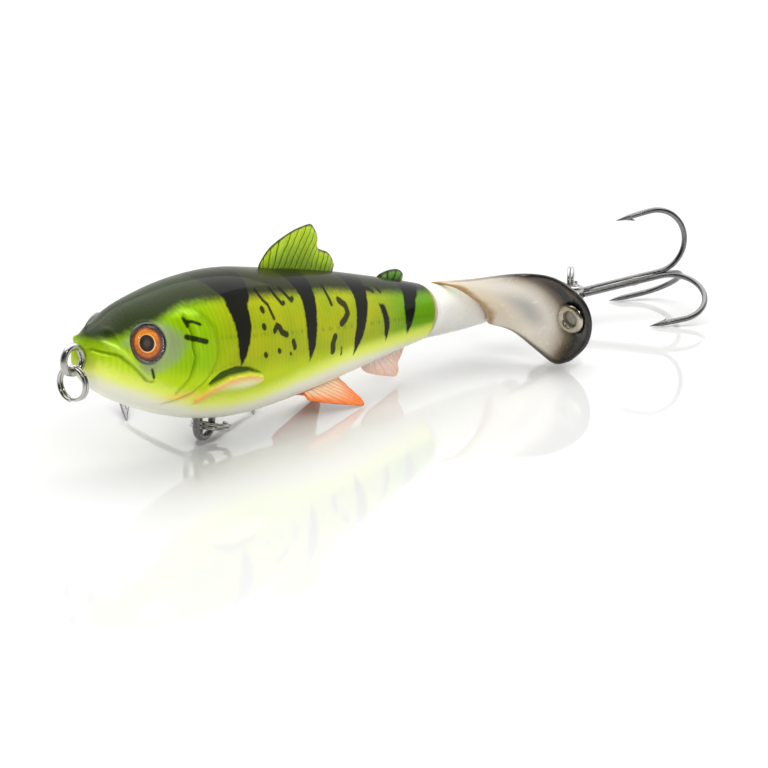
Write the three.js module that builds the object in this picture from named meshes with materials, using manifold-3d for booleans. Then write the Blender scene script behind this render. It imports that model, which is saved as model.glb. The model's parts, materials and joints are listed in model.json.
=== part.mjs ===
// A hard-bodied trout lure with a rotating tail: two hollow shells closed round a through-wire,
// a cone and cupped paddle that spin on that wire behind the body, and two treble hooks on
// split rings. It stands as it does on a shelf, on its pelvic fins, its paddle and its hooks.
import * as THREE from 'three';
import { mergeVertices } from 'three/addons/utils/BufferGeometryUtils.js';
import Module from 'manifold-3d';

const wasm = await Module();
wasm.setup();

// Driving dimensions in millimetres. In the lure's own frame x runs along the wire from the
// nose to the tail, y to the fish's right and z towards its back.
const PITCH = THREE.MathUtils.degToRad(5.77);
const NOSE_HEIGHT = 19.4;
const GAP = 0.3;
const WALL = 1.3;
const BODY_END = 80.2;
const WIRE = 1.1;
const LOOP_RADIUS = 1.95;
const NOSE_LOOP_X = -1.5;
const REAR_LOOP_X = 125.9;
const SHAFT_START = 3.6;
const SHAFT_END = 121.2;
const BORE = WIRE / 2 + GAP;
const HUB_START = 80.6;
const HUB_END = 100;
const BOSS_END = 104.6;
const BUSHING_RADIUS = 1.5;
const HOOK_WIRE = 1.0;
const HOOK_EYE_RADIUS = 1.8;
const TIP_RADIUS = 12;
const TIP_BACK = 10.4;
const SHANK_END = 17;
const RING_WIRE = 0.55;
const NOSE_RING_RADIUS = 2.45;
const HOOK_RING_RADIUS = 2.95;
const EYE_PLACE = new THREE.Vector3(8.2, 5.56, 2.4);
const EYE_NORMAL = new THREE.Vector3(-0.30, 0.90, 0.30).normalize();
const EYE_RADIUS = 2.75;
const BALLAST_RADIUS = 2.8;
const BALLAST_HALF = 7;
const BALLAST_X = 15.5;
const BALLAST_DROP = 4.6;
const RATTLE_RADIUS = 2.5;
const RATTLE_X = 53.2;
const RATTLE_DROP = 5.5;
const RIBS = [12, 20, 34.5, 43, 56.5, 69];
const RIB_THICKNESS = 1.2;
const HANGER_X = 28.2;
const HANGER_HOLE = 1.25;
const HANGER_DROP = -13.3;
const PELVIC_SPLAY = THREE.MathUtils.degToRad(28);
const PELVIC_ROOT = 3.0;
const PELVIC_KNEE = -9.6;
const FIN_THICKNESS = 1.0;
const DORSAL_THICKNESS = 1.2;
const WRAP_X = 118.9;
const PADDLE_THICKNESS = 1.2;
const CUP = 3.2;
const EYELET_U = 0.71;
const EYELET_V = 0.5;
const EYELET_BORE = 1.3;

// Body stations from snout to tail: distance, back height, belly depth, half width.
const STATIONS = [
  [0.7, 2.3, 2.6, 2.6],
  [2.2, 4.0, 4.3, 3.9],
  [5, 5.6, 5.9, 5.1],
  [10, 7.9, 8.0, 6.6],
  [20, 10.3, 10.9, 8.2],
  [30, 11.2, 12.1, 8.7],
  [40, 10.4, 11.6, 8.5],
  [55, 8.8, 9.4, 7.4],
  [70, 6.5, 6.7, 5.6],
  [BODY_END, 4.7, 5, 4.5],
];
const SECTION_POWER = 0.93;

const PLASTIC = { roughness: 0.2, metalness: 0 };
const METAL = { roughness: 0.25, metalness: 1 };

const solidOf = (geometry) => {
  const bare = geometry.index ? geometry.toNonIndexed() : geometry.clone();
  bare.deleteAttribute('normal');
  bare.deleteAttribute('uv');
  const merged = mergeVertices(bare, 1e-4);
  return new wasm.Manifold(new wasm.Mesh({
    numProp: 3,
    vertProperties: new Float32Array(merged.attributes.position.array),
    triVerts: new Uint32Array(merged.index.array),
  }));
};

const geometryOf = (solid) => {
  const mesh = solid.getMesh();
  const geometry = new THREE.BufferGeometry();
  geometry.setAttribute('position', new THREE.BufferAttribute(mesh.vertProperties, mesh.numProp));
  geometry.setIndex(new THREE.BufferAttribute(mesh.triVerts, 1));
  return geometry;
};

const join = (...solids) => solids.reduce((all, next) => all.add(next));

const circle = (radius, sides) => {
  const shape = new THREE.Shape();
  for (let i = 0; i < sides; i += 1) {
    const angle = (i / sides) * 2 * Math.PI;
    shape[i ? 'lineTo' : 'moveTo'](radius * Math.cos(angle), radius * Math.sin(angle));
  }
  return shape;
};

const tube = (path, diameter, steps, sides = 8) => new THREE.ExtrudeGeometry(
  circle(diameter / 2, sides),
  { extrudePath: path, steps, bevelEnabled: false, curveSegments: 1 },
);

// A turned piece round the wire: its profile is a closed list of [distance along x, radius].
const turned = (profile, sides = 28) => {
  const outline = profile.map(([x, radius]) => new THREE.Vector2(radius, x)).reverse();
  const onAxis = profile[0][1] === 0;
  const points = onAxis ? outline : [...outline, outline[0].clone()];
  return new THREE.LatheGeometry(points, sides).rotateZ(-Math.PI / 2);
};

const sleeve = (start, end, inner, outer, sides = 24) => turned([
  [start, inner], [end, inner], [end, outer], [start, outer],
], sides);

// A rod along x.
const rod = (start, end, radius, sides = 16) => turned([
  [end, 0], [end, radius], [start, radius], [start, 0],
], sides);

const block = (width, depth, height, x, y, z) => new THREE.BoxGeometry(width, depth, height)
  .translate(x, y, z);

// A ring of wire whose hole looks along y.
const loop = (radius, wire, segments = 20, sides = 8) => new THREE.TorusGeometry(
  radius, wire / 2, sides, segments,
).rotateX(Math.PI / 2);

class Coil extends THREE.Curve {
  constructor(radius, pitch, turns) {
    super();
    Object.assign(this, { radius, pitch, turns });
  }

  getPoint(t, target = new THREE.Vector3()) {
    const angle = 2 * Math.PI * this.turns * t;
    const rise = this.pitch * this.turns * (t - 0.5);
    return target.set(this.radius * Math.cos(angle), this.radius * Math.sin(angle), rise);
  }
}

const part = new THREE.Group();
const marks = part.userData;
const lure = new THREE.Group();
lure.rotation.y = PITCH;
lure.position.z = NOSE_HEIGHT;
const tackle = new THREE.Group();
part.add(lure, tackle);
part.updateMatrixWorld(true);

const place = (group, name, geometry, color, finish) => {
  const mesh = new THREE.Mesh(geometry, new THREE.MeshStandardMaterial({ color, ...finish }));
  mesh.name = name;
  group.add(mesh);
  return mesh;
};

// Body: both shells come from one skin, hollowed, ribbed and parted along the middle.
const heights = new THREE.CatmullRomCurve3(
  STATIONS.map(([x, top, bottom]) => new THREE.Vector3(x, top, bottom)), false, 'catmullrom', 0.5,
);
const widths = new THREE.CatmullRomCurve3(
  STATIONS.map(([x, , , half]) => new THREE.Vector3(x, half, 0)), false, 'catmullrom', 0.5,
);

const skin = (rings, around, inset) => {
  const vertices = [];
  const faces = [];
  for (let i = 0; i <= rings; i += 1) {
    const height = heights.getPoint(i / rings);
    const width = widths.getPoint(i / rings);
    const x = THREE.MathUtils.lerp(height.x, (BODY_END + STATIONS[0][0]) / 2, inset / 40);
    for (let j = 0; j < around; j += 1) {
      const angle = (j / around) * 2 * Math.PI;
      const across = Math.sign(Math.cos(angle)) * Math.abs(Math.cos(angle)) ** SECTION_POWER;
      const up = Math.sign(Math.sin(angle)) * Math.abs(Math.sin(angle)) ** SECTION_POWER;
      const reach = up > 0 ? height.y : height.z;
      vertices.push(x, across * (width.y - inset), up * (reach - inset));
    }
  }
  const ends = [0, rings * around];
  vertices.push(vertices[0], 0, 0, vertices[3 * rings * around], 0, 0);
  const hubs = [(rings + 1) * around, (rings + 1) * around + 1];
  for (let j = 0; j < around; j += 1) {
    const next = (j + 1) % around;
    for (let i = 0; i < rings; i += 1) {
      const a = i * around + j;
      const b = i * around + next;
      faces.push(a, b, a + around, b, b + around, a + around);
    }
    faces.push(hubs[0], ends[0] + next, ends[0] + j);
    faces.push(hubs[1], ends[1] + j, ends[1] + next);
  }
  const geometry = new THREE.BufferGeometry();
  geometry.setAttribute('position', new THREE.BufferAttribute(new Float32Array(vertices), 3));
  geometry.setIndex(faces);
  return geometry;
};

const hollow = solidOf(skin(12, 16, WALL)).subtract(join(
  ...RIBS.map((x) => solidOf(block(RIB_THICKNESS, 20, 30, x, 0, 0))),
));
const ballastSeat = solidOf(
  rod(BALLAST_X - BALLAST_HALF - GAP, BALLAST_X + BALLAST_HALF + GAP, BALLAST_RADIUS + GAP)
    .translate(0, 0, -BALLAST_DROP),
);
const hangerSlot = solidOf(block(4.2 + 2 * GAP, WIRE + 2 * GAP, 9, HANGER_X, 0, -10.4));
const eyeTurn = (side) => new THREE.Quaternion().setFromUnitVectors(
  new THREE.Vector3(1, 0, 0), EYE_NORMAL.clone().multiply(new THREE.Vector3(1, side, 1)),
);
const atEye = (geometry, side) => geometry.applyQuaternion(eyeTurn(side))
  .translate(EYE_PLACE.x, side * EYE_PLACE.y, EYE_PLACE.z);
const sockets = join(...[-1, 1].map((side) => solidOf(
  atEye(rod(-0.8, 3, EYE_RADIUS + GAP, 24), side),
)));
const noseSlot = solidOf(block(6, WIRE + 2 * GAP, 2 * LOOP_RADIUS + WIRE + 2 * GAP, -1, 0, 0));
const tie = solidOf(rod(-5, BODY_END + 2, BORE));
const shellBlank = solidOf(skin(24, 24, 0)).subtract(hollow).subtract(ballastSeat)
  .subtract(hangerSlot).subtract(sockets).subtract(noseSlot).subtract(tie);
const half = (side) => shellBlank.intersect(
  solidOf(block(120, 20, 60, 45, side * (10 + GAP / 2), 0)),
);
place(lure, 'body_left_shell', geometryOf(half(-1)), 0xa9c414, PLASTIC);
place(lure, 'body_right_shell', geometryOf(half(1)), 0xa9c414, PLASTIC);

// Eyes: a printed iris disc under a clear dome, one pair on each side of the head.
const lensProfile = [];
for (let i = 6; i >= 0; i -= 1) {
  const angle = (i / 6) * (Math.PI / 2);
  lensProfile.push([0.2 + 0.8 * Math.sin(angle), i === 6 ? 0 : EYE_RADIUS * Math.cos(angle)]);
}
lensProfile.push([0.2, 0]);
for (const [name, side] of [['left', -1], ['right', 1]]) {
  place(lure, `${name}_eye_iris`, atEye(rod(-0.5, -0.1, EYE_RADIUS, 24), side), 0xc8791c, PLASTIC);
  place(lure, `${name}_eye_lens`, atEye(turned(lensProfile, 24), side), 0xf6efe2, PLASTIC);
}

// Through-wire: a straight shaft, with the tow loop in front and the hook loop behind.
const wireRun = (start, end) => solidOf(rod(start, end, WIRE / 2, 12));
place(lure, 'tow_loop', geometryOf(join(
  wireRun(NOSE_LOOP_X + LOOP_RADIUS, SHAFT_START - GAP),
  solidOf(loop(LOOP_RADIUS, WIRE).translate(NOSE_LOOP_X, 0, 0)),
)), 0x8c8f93, METAL);
place(lure, 'through_wire', geometryOf(wireRun(SHAFT_START, SHAFT_END)), 0x8c8f93, METAL);
place(lure, 'hook_loop', geometryOf(join(
  wireRun(SHAFT_END + GAP, REAR_LOOP_X - LOOP_RADIUS),
  solidOf(loop(LOOP_RADIUS, WIRE).rotateX(Math.PI / 2).translate(REAR_LOOP_X, 0, 0)),
)), 0x8c8f93, METAL);
place(lure, 'rear_wire_wrap', tube(
  new Coil(WIRE + 0.25, WIRE + GAP, 5), WIRE, 45, 6,
).rotateY(Math.PI / 2).translate(WRAP_X, 0, 0), 0x8c8f93, METAL);

// Belly hanger: a U of wire set in the belly, with a cross foot inside the shells.
const hangerPath = (leg) => new THREE.LineCurve3(
  new THREE.Vector3(leg, 0, -6.4), new THREE.Vector3(leg, 0, HANGER_DROP),
);
const hangerLegs = [-1, 1].map((way) => solidOf(tube(
  hangerPath(HANGER_X + way * (HANGER_HOLE + WIRE / 2)), WIRE, 1,
)));
const hangerBow = solidOf(
  loop(HANGER_HOLE + WIRE / 2, WIRE).translate(HANGER_X, 0, HANGER_DROP),
).intersect(solidOf(block(9, 3, 6, HANGER_X, 0, HANGER_DROP - 3)));
const hangerFoot = solidOf(block(4.6, WIRE, WIRE, HANGER_X, 0, -6.6));
place(
  lure, 'belly_hanger', geometryOf(join(...hangerLegs, hangerBow, hangerFoot)), 0x3b3d40, METAL,
);

// Weights inside: a ballast slug seated in two ribs, and a ball that knocks between two more.
place(lure, 'belly_ballast', rod(
  BALLAST_X - BALLAST_HALF, BALLAST_X + BALLAST_HALF, BALLAST_RADIUS, 20,
).translate(0, 0, -BALLAST_DROP), 0x6f7276, METAL);
place(lure, 'rattle_ball', new THREE.SphereGeometry(RATTLE_RADIUS, 16, 10)
  .translate(RATTLE_X, 0, -RATTLE_DROP), 0xb9bcc0, METAL);

// Fins: flat outlines in the lure's own x and z, cut to the skin below them.
const skinAround = solidOf(skin(24, 24, -GAP));
const finSheet = (outline, thickness) => {
  const shape = new THREE.Shape(outline.map(([x, z]) => new THREE.Vector2(x, z)));
  return new THREE.ExtrudeGeometry(shape, { depth: thickness, bevelEnabled: false })
    .translate(0, 0, -thickness / 2).rotateX(Math.PI / 2);
};
const DORSAL = [
  [38.5, 9.3], [39.2, 11.3], [43.1, 14.1], [46.6, 15.5], [51.3, 16.6], [52.3, 15.9], [53.9, 13.4],
  [53.1, 12.2], [55.9, 11.7], [58.2, 9.6], [57.6, 6.9], [48, 7.6],
];
const ADIPOSE = [[68.8, 5.6], [70.2, 7.0], [72.5, 7.5], [75.0, 7.4], [76.4, 6.4], [75.9, 4.2]];
const ANAL = [
  [65.8, -6.0], [66.6, -8.6], [68.4, -9.4], [72, -10.2], [76.3, -10.8], [76.9, -9.5], [76.3, -8.4],
  [77.2, -7.6], [78, -6.1], [77.6, -4.4],
];
const PELVIC = [
  [47.6, -9.2], [48.4, -11.3], [53, -12.3], [58, -13.2], [61.6, -13.8], [62.3, -13.3],
  [61.6, -12.2], [59.6, -10.4], [56.6, -7.2],
];
const floorBelow = solidOf(
  block(300, 60, 10, 60, 0, -5).applyMatrix4(lure.matrixWorld.clone().invert()),
);
const fin = (name, sheet, color) => place(
  lure, name, geometryOf(solidOf(sheet).subtract(skinAround).subtract(floorBelow)), color, PLASTIC,
);
fin('dorsal_fin', finSheet(DORSAL, DORSAL_THICKNESS), 0x3f6b1c);
fin('adipose_fin', finSheet(ADIPOSE, FIN_THICKNESS), 0x5f8f22);
fin('anal_fin', finSheet(ANAL, FIN_THICKNESS), 0xe9c0ae);
for (const [name, side] of [['left', -1], ['right', 1]]) {
  const splayed = finSheet(PELVIC, FIN_THICKNESS).translate(0, 0, -PELVIC_KNEE)
    .rotateX(side * -PELVIC_SPLAY).translate(0, side * PELVIC_ROOT, PELVIC_KNEE);
  fin(`${name}_pelvic_fin`, splayed, 0xe08a2c);
}

// Tail: the cone and its paddle turn together on a bushing over the wire.
place(lure, 'front_washer', sleeve(80.5, 81.1, BORE, 2.2), 0xb08d4a, METAL);
place(lure, 'tail_bushing', sleeve(81.5, BOSS_END, BORE, BUSHING_RADIUS), 0xc2a25a, METAL);
const hubBore = BUSHING_RADIUS + GAP;
place(lure, 'tail_hub', turned([
  [HUB_START, 2.5], [81.4, 2.5], [81.4, hubBore], [HUB_END, hubBore], [HUB_END, 3.3],
  [HUB_END - 0.6, 3.7], [94, 4.2], [88, 4.6], [HUB_START + 0.7, 4.8], [HUB_START, 4.5],
]), 0xf0eee6, PLASTIC);

// Paddle: a cupped sheet between four edge curves, bulged backwards, on a boss behind the cone.
const ROOT_EDGE = [
  [82.6, -0.6, 4.7], [86, -3.4, 3.9], [90, -4.5, 1.8], [94, -4.3, -0.6], [97, -2.9, -3.2],
];
const TOP_EDGE = [
  [82.6, -0.6, 4.7], [88, -5, 5.4], [95.3, -9.5, 6.4], [98.8, -14, 6.2], [100.6, -18, 4.2],
];
const BOTTOM_EDGE = [
  [97, -2.9, -3.2], [99.2, -6.5, -4.2], [100.8, -11, -7.2], [101.6, -14.2, -9.0],
  [101.8, -17.2, -8.1],
];
const TIP_EDGE = [
  [100.6, -18, 4.2], [101.4, -20.2, 1.6], [102.0, -20.9, -1.5], [102.2, -20, -5],
  [101.8, -17.2, -8.1],
];
const curve = (points) => new THREE.CatmullRomCurve3(points.map((p) => new THREE.Vector3(...p)));
const edges = [ROOT_EDGE, TIP_EDGE, TOP_EDGE, BOTTOM_EDGE].map(curve);
const paddlePoint = (u, v) => {
  const [root, tip, top, bottom] = edges;
  const across = root.getPoint(v).lerp(tip.getPoint(v), u);
  const along = top.getPoint(u).lerp(bottom.getPoint(u), v);
  const near = root.getPoint(0).lerp(tip.getPoint(0), u);
  const far = root.getPoint(1).lerp(tip.getPoint(1), u);
  const point = across.add(along).sub(near.lerp(far, v));
  point.x += CUP * Math.sin(Math.PI * u) * Math.sin(Math.PI * v);
  return point;
};
const paddleSheet = (columns, rows, thickness) => {
  const vertices = [];
  const faces = [];
  const step = 1e-3;
  for (const side of [-0.5, 0.5]) {
    for (let i = 0; i <= columns; i += 1) {
      for (let j = 0; j <= rows; j += 1) {
        const [u, v] = [i / columns, j / rows];
        const u0 = THREE.MathUtils.clamp(u, step, 1 - step);
        const v0 = THREE.MathUtils.clamp(v, step, 1 - step);
        const alongU = paddlePoint(u0 + step, v0).sub(paddlePoint(u0 - step, v0));
        const alongV = paddlePoint(u0, v0 + step).sub(paddlePoint(u0, v0 - step));
        const normal = alongU.cross(alongV).normalize();
        vertices.push(...paddlePoint(u, v).addScaledVector(normal, side * thickness).toArray());
      }
    }
  }
  const at = (side, i, j) => side * (columns + 1) * (rows + 1) + i * (rows + 1) + j;
  const quad = (a, b, c, d) => faces.push(a, b, c, a, c, d);
  for (let i = 0; i < columns; i += 1) {
    for (let j = 0; j < rows; j += 1) {
      quad(at(0, i, j), at(0, i, j + 1), at(0, i + 1, j + 1), at(0, i + 1, j));
      quad(at(1, i, j), at(1, i + 1, j), at(1, i + 1, j + 1), at(1, i, j + 1));
    }
    quad(at(0, i, 0), at(0, i + 1, 0), at(1, i + 1, 0), at(1, i, 0));
    quad(at(0, i + 1, rows), at(0, i, rows), at(1, i, rows), at(1, i + 1, rows));
  }
  for (let j = 0; j < rows; j += 1) {
    quad(at(0, 0, j + 1), at(0, 0, j), at(1, 0, j), at(1, 0, j + 1));
    quad(at(0, columns, j), at(0, columns, j + 1), at(1, columns, j + 1), at(1, columns, j));
  }
  const geometry = new THREE.BufferGeometry();
  geometry.setAttribute('position', new THREE.BufferAttribute(new Float32Array(vertices), 3));
  geometry.setIndex(faces);
  return geometry;
};
const boss = join(
  solidOf(rod(HUB_END + GAP, BOSS_END - 0.3, 3.1, 24)),
  solidOf(block(2.6, 6, 1.6, 101.8, -3.5, -1)),
);
const atEyelet = (geometry) => {
  const nudge = 0.01;
  const alongU = paddlePoint(EYELET_U + nudge, EYELET_V).sub(paddlePoint(EYELET_U, EYELET_V));
  const alongV = paddlePoint(EYELET_U, EYELET_V + nudge).sub(paddlePoint(EYELET_U, EYELET_V));
  const normal = alongU.cross(alongV).normalize();
  normal.multiplyScalar(-Math.sign(normal.x));
  const centre = paddlePoint(EYELET_U, EYELET_V);
  return geometry.applyQuaternion(
    new THREE.Quaternion().setFromUnitVectors(new THREE.Vector3(1, 0, 0), normal),
  ).translate(centre.x, centre.y, centre.z);
};
const hubAround = solidOf(turned([
  [HUB_END + GAP, 0], [HUB_END + GAP, 3.6], [94, 4.5], [88, 4.9], [HUB_START, 5.3], [HUB_START, 0],
]));
const paddle = solidOf(paddleSheet(10, 8, PADDLE_THICKNESS)).add(boss).subtract(hubAround)
  .subtract(solidOf(rod(90, 110, hubBore))).subtract(solidOf(atEyelet(rod(-4, 4, 2.1, 20))));
const largest = paddle.decompose().sort((a, b) => b.volume() - a.volume())[0];
place(lure, 'tail_blade', geometryOf(largest), 0x9a948a, PLASTIC);
place(lure, 'tail_eyelet', atEyelet(turned([
  [-1.6, EYELET_BORE], [1.8, EYELET_BORE], [1.8, 2.0], [1.35, 2.6], [1.35, 1.7], [-1.6, 1.7],
], 20)), 0xb7ad9c, METAL);
place(lure, 'rear_washer', sleeve(104.9, 105.5, BORE, 2.1), 0xb08d4a, METAL);
place(lure, 'rear_bead', turned([
  [105.8, BORE], [109.8, BORE], [109.8, 1.2], [109, 1.9], [107.8, 2.2], [106.6, 1.9], [105.8, 1.2],
], 20), 0xb9bcc0, METAL);

// Tackle: split rings of two turns, each through its loop, and trebles that lie as they fell.
const splitRing = (radius) => tube(
  new Coil(radius, RING_WIRE + 0.06, 1.94), RING_WIRE, 38, 6,
);
const nosePivot = new THREE.Vector3(NOSE_LOOP_X, 0, -LOOP_RADIUS);
const noseRing = splitRing(NOSE_RING_RADIUS).rotateY(Math.PI / 2);
const ringHang = NOSE_RING_RADIUS - WIRE / 2 - RING_WIRE / 2 - 0.1;
const nosePoint = lure.localToWorld(nosePivot.clone());
marks.nosePivot = nosePoint;
place(tackle, 'nose_split_ring', noseRing, 0xc4c6c9, METAL)
  .position.set(nosePoint.x, 0, nosePoint.z - ringHang);

const hookPath = new THREE.CurvePath();
const bendRadius = (TIP_RADIUS - HOOK_WIRE / 2) / 2;
const bendCentre = HOOK_WIRE / 2 + bendRadius;
const hookPoints = [[HOOK_EYE_RADIUS, HOOK_WIRE / 2], [6, HOOK_WIRE / 2], [12, HOOK_WIRE / 2]];
for (let i = 0; i <= 8; i += 1) {
  const angle = (i / 8) * Math.PI;
  hookPoints.push([
    SHANK_END + bendRadius * Math.sin(angle), bendCentre - bendRadius * Math.cos(angle),
  ]);
}
hookPoints.push([14, TIP_RADIUS - 0.1], [TIP_BACK + 1.6, TIP_RADIUS - 0.3]);
const hook = join(
  solidOf(tube(curve(hookPoints.map(([x, r]) => [x, 0, r])), HOOK_WIRE, 26, 8)),
  solidOf(new THREE.CylinderGeometry(0.06, HOOK_WIRE / 2, 2.4, 8).rotateZ(Math.PI / 2)
    .translate(TIP_BACK + 1.2, 0, TIP_RADIUS - 0.3)),
);
const treble = join(
  hook, hook.rotate([120, 0, 0]), hook.rotate([240, 0, 0]),
  solidOf(rod(HOOK_EYE_RADIUS, SHANK_END + 0.8, 0.5, 12)),
  solidOf(loop(HOOK_EYE_RADIUS, HOOK_WIRE, 18, 6)),
);

// A split ring through a loop at `pivot` reaches along `way`, and the treble's eye hangs on it
// `turn` round towards `side`. The treble's shank then lies at `heading`, rising by `rise`.
const hang = (prefix, pivot, way, side, turn, heading, rise) => {
  const normal = way.clone().cross(side);
  const centre = pivot.clone().addScaledVector(way, HOOK_RING_RADIUS);
  const eye = centre.clone().addScaledVector(way, HOOK_RING_RADIUS * Math.cos(turn))
    .addScaledVector(side, HOOK_RING_RADIUS * Math.sin(turn));
  const ring = place(tackle, `${prefix}_split_ring`, splitRing(HOOK_RING_RADIUS), 0xc4c6c9, METAL);
  ring.applyMatrix4(new THREE.Matrix4().makeBasis(way, side, normal).setPosition(centre));
  const shank = new THREE.Vector3(
    Math.cos(heading) * Math.cos(rise), Math.sin(heading) * Math.cos(rise), Math.sin(rise),
  );
  const hole = new THREE.Vector3(-Math.sin(heading), Math.cos(heading), 0);
  const up = shank.clone().cross(hole).normalize();
  const hooks = place(tackle, `${prefix}_treble_hook`, geometryOf(treble), 0x3a3b3e, METAL);
  hooks.applyMatrix4(new THREE.Matrix4().makeBasis(shank, hole, up).setPosition(eye));
  Object.assign(marks, { [`${prefix}Pivot`]: pivot, [`${prefix}Eye`]: eye, [`${prefix}Hole`]: hole });
};
const degrees = THREE.MathUtils.degToRad;
const [bellyYaw, bellyDrop] = [degrees(20), degrees(15)];
const bellyWay = new THREE.Vector3(
  Math.cos(bellyYaw) * Math.cos(bellyDrop), Math.sin(bellyYaw), -Math.cos(bellyYaw) * Math.sin(bellyDrop),
);
const bellySide = new THREE.Vector3(Math.sin(bellyDrop), 0, Math.cos(bellyDrop)).cross(bellyWay);
hang('belly', lure.localToWorld(new THREE.Vector3(HANGER_X, 0, HANGER_DROP)),
  bellyWay, bellySide, degrees(60), degrees(48), degrees(17.8));
const rearYaw = degrees(30);
hang('rear', lure.localToWorld(new THREE.Vector3(REAR_LOOP_X, 0, 0)),
  new THREE.Vector3(Math.cos(rearYaw), Math.sin(rearYaw), 0), new THREE.Vector3(0, 0, -1),
  degrees(55), degrees(-35), degrees(9.4));

// The origin is the middle of the footprint, on the surface that the lure stands on.
part.updateMatrixWorld(true);
const extent = new THREE.Box3().setFromObject(part, true);
const middle = extent.getCenter(new THREE.Vector3());
part.position.set(-middle.x, -middle.y, -extent.min.z);
part.updateMatrixWorld(true);

export default part;
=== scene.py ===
import json
import math

import bmesh
import bpy
import numpy as np
from mathutils import Matrix, Vector


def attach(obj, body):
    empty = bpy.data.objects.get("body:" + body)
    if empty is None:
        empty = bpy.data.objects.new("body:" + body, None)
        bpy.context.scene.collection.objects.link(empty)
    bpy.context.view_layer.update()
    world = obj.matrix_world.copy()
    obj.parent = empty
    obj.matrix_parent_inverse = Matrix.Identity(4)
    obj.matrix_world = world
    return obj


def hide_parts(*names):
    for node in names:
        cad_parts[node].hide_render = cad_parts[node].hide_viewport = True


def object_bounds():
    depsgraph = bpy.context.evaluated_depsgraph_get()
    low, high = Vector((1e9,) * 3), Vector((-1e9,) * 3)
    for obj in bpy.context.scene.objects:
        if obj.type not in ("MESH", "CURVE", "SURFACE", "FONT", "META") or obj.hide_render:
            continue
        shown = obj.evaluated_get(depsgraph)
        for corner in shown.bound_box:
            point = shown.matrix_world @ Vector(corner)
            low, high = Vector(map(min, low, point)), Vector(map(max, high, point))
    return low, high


bl_info = {
    "name": "Spinning-tail trout lure",
    "version": (1, 0, 0),
    "blender": (4, 5, 0),
    "location": "View3D > Sidebar > Lure",
    "description": "Builds a hard-bodied trout lure with a spinning tail, its wire and its hooks",
    "category": "Add Mesh",
}

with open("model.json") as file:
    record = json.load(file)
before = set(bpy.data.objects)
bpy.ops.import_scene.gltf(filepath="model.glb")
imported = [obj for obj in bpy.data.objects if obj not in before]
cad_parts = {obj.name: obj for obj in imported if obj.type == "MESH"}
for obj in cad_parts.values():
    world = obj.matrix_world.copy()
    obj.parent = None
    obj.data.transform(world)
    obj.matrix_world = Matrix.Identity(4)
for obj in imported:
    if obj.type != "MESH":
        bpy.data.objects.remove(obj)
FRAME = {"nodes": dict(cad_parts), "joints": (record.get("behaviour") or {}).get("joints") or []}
CAD_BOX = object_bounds()
JOINTS = {joint["name"]: joint for joint in FRAME["joints"]}
MM = 0.001

# The lure's own axes, in millimetres: x along the wire from the nose, y to its right, z to its back.
SPIN = JOINTS["tail_spin"]
AXIS = Vector(SPIN["axis"]).normalized()
UP = AXIS.cross(Vector((0, 1, 0)))
NOSE = Vector(SPIN["pos_m"]) - 92 * MM * AXIS
LURE = Matrix.Translation(NOSE) @ Matrix((AXIS, (0, 1, 0), UP)).transposed().to_4x4()
LURE = LURE @ Matrix.Scale(MM, 4)

WIRE = 1.1
NOSE_LOOP_X, REAR_LOOP_X, LOOP_RADIUS = -1.5, 125.9, 1.95
HANGER_X, HANGER_DROP, HANGER_RADIUS = 28.2, 13.3, 1.8
STATIONS = np.array([
    (0.7, 2.3, 2.6, 2.6), (2.2, 4.0, 4.3, 3.9), (5, 5.6, 5.9, 5.1), (10, 7.9, 8.0, 6.6),
    (20, 10.3, 10.9, 8.2), (30, 11.2, 12.1, 8.7), (40, 10.4, 11.6, 8.5), (55, 8.8, 9.4, 7.4),
    (70, 6.5, 6.7, 5.6), (80.2, 4.7, 5, 4.5),
])
BODY_END = 80.2
SECTION_POWER = 0.93
EYE_PLACE = Vector((8.2, 5.56, 2.4))
EYE_NORMAL = Vector((-0.30, 0.90, 0.30)).normalized()
EYE_RADIUS = 2.75


def tint(name, description, default):
    """A colour of the panel."""
    return bpy.props.FloatVectorProperty(name=name, description=description, subtype="COLOR", size=3,
                                         default=default, min=0, max=1)


class LureColours(bpy.types.PropertyGroup):
    back: tint("Back", "Olive black of the back", (0.0055, 0.0065, 0.0038))
    bar: tint("Bars", "Black of the bars and squiggles", (0.0018, 0.0018, 0.0016))
    flank: tint("Flank", "Lime foil of the sides", (0.39, 0.42, 0.0004))
    head: tint("Head", "Brighter green of the cheeks", (0.27, 0.49, 0.001))
    belly: tint("Belly", "Cream underside", (0.88, 0.87, 0.74))
    fin: tint("Fin orange", "Orange of the pelvic fins", (0.95, 0.20, 0.022))
    iris: tint("Iris", "Amber of the eyes", (0.72, 0.17, 0.006))
    steel: tint("Steel", "Through-wire, wrap and bead", (0.50, 0.49, 0.47))
    nickel: tint("Black nickel", "Hooks and belly hanger", (0.24, 0.235, 0.235))


class LureSizes(bpy.types.PropertyGroup):
    around: bpy.props.IntProperty(
        name="Cage points", description="Cage points around the body", default=32, min=16, max=48,
    )
    smoothing: bpy.props.IntProperty(
        name="Skin levels", description="Subdivisions of the body cage", default=3, min=2, max=3,
    )
    relief: bpy.props.FloatProperty(
        name="Relief", description="Strength of the moulded head and fins", default=1.0, min=0, max=1.5,
    )
    fin_rays: bpy.props.IntProperty(
        name="Fin rays", description="Rays in the dorsal fin", default=15, min=8, max=20,
    )
    floor: bpy.props.FloatProperty(
        name="Floor", description="Half width of the floor", default=8.0, min=1, max=20, unit="LENGTH",
    )


# Geometry helpers

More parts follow.
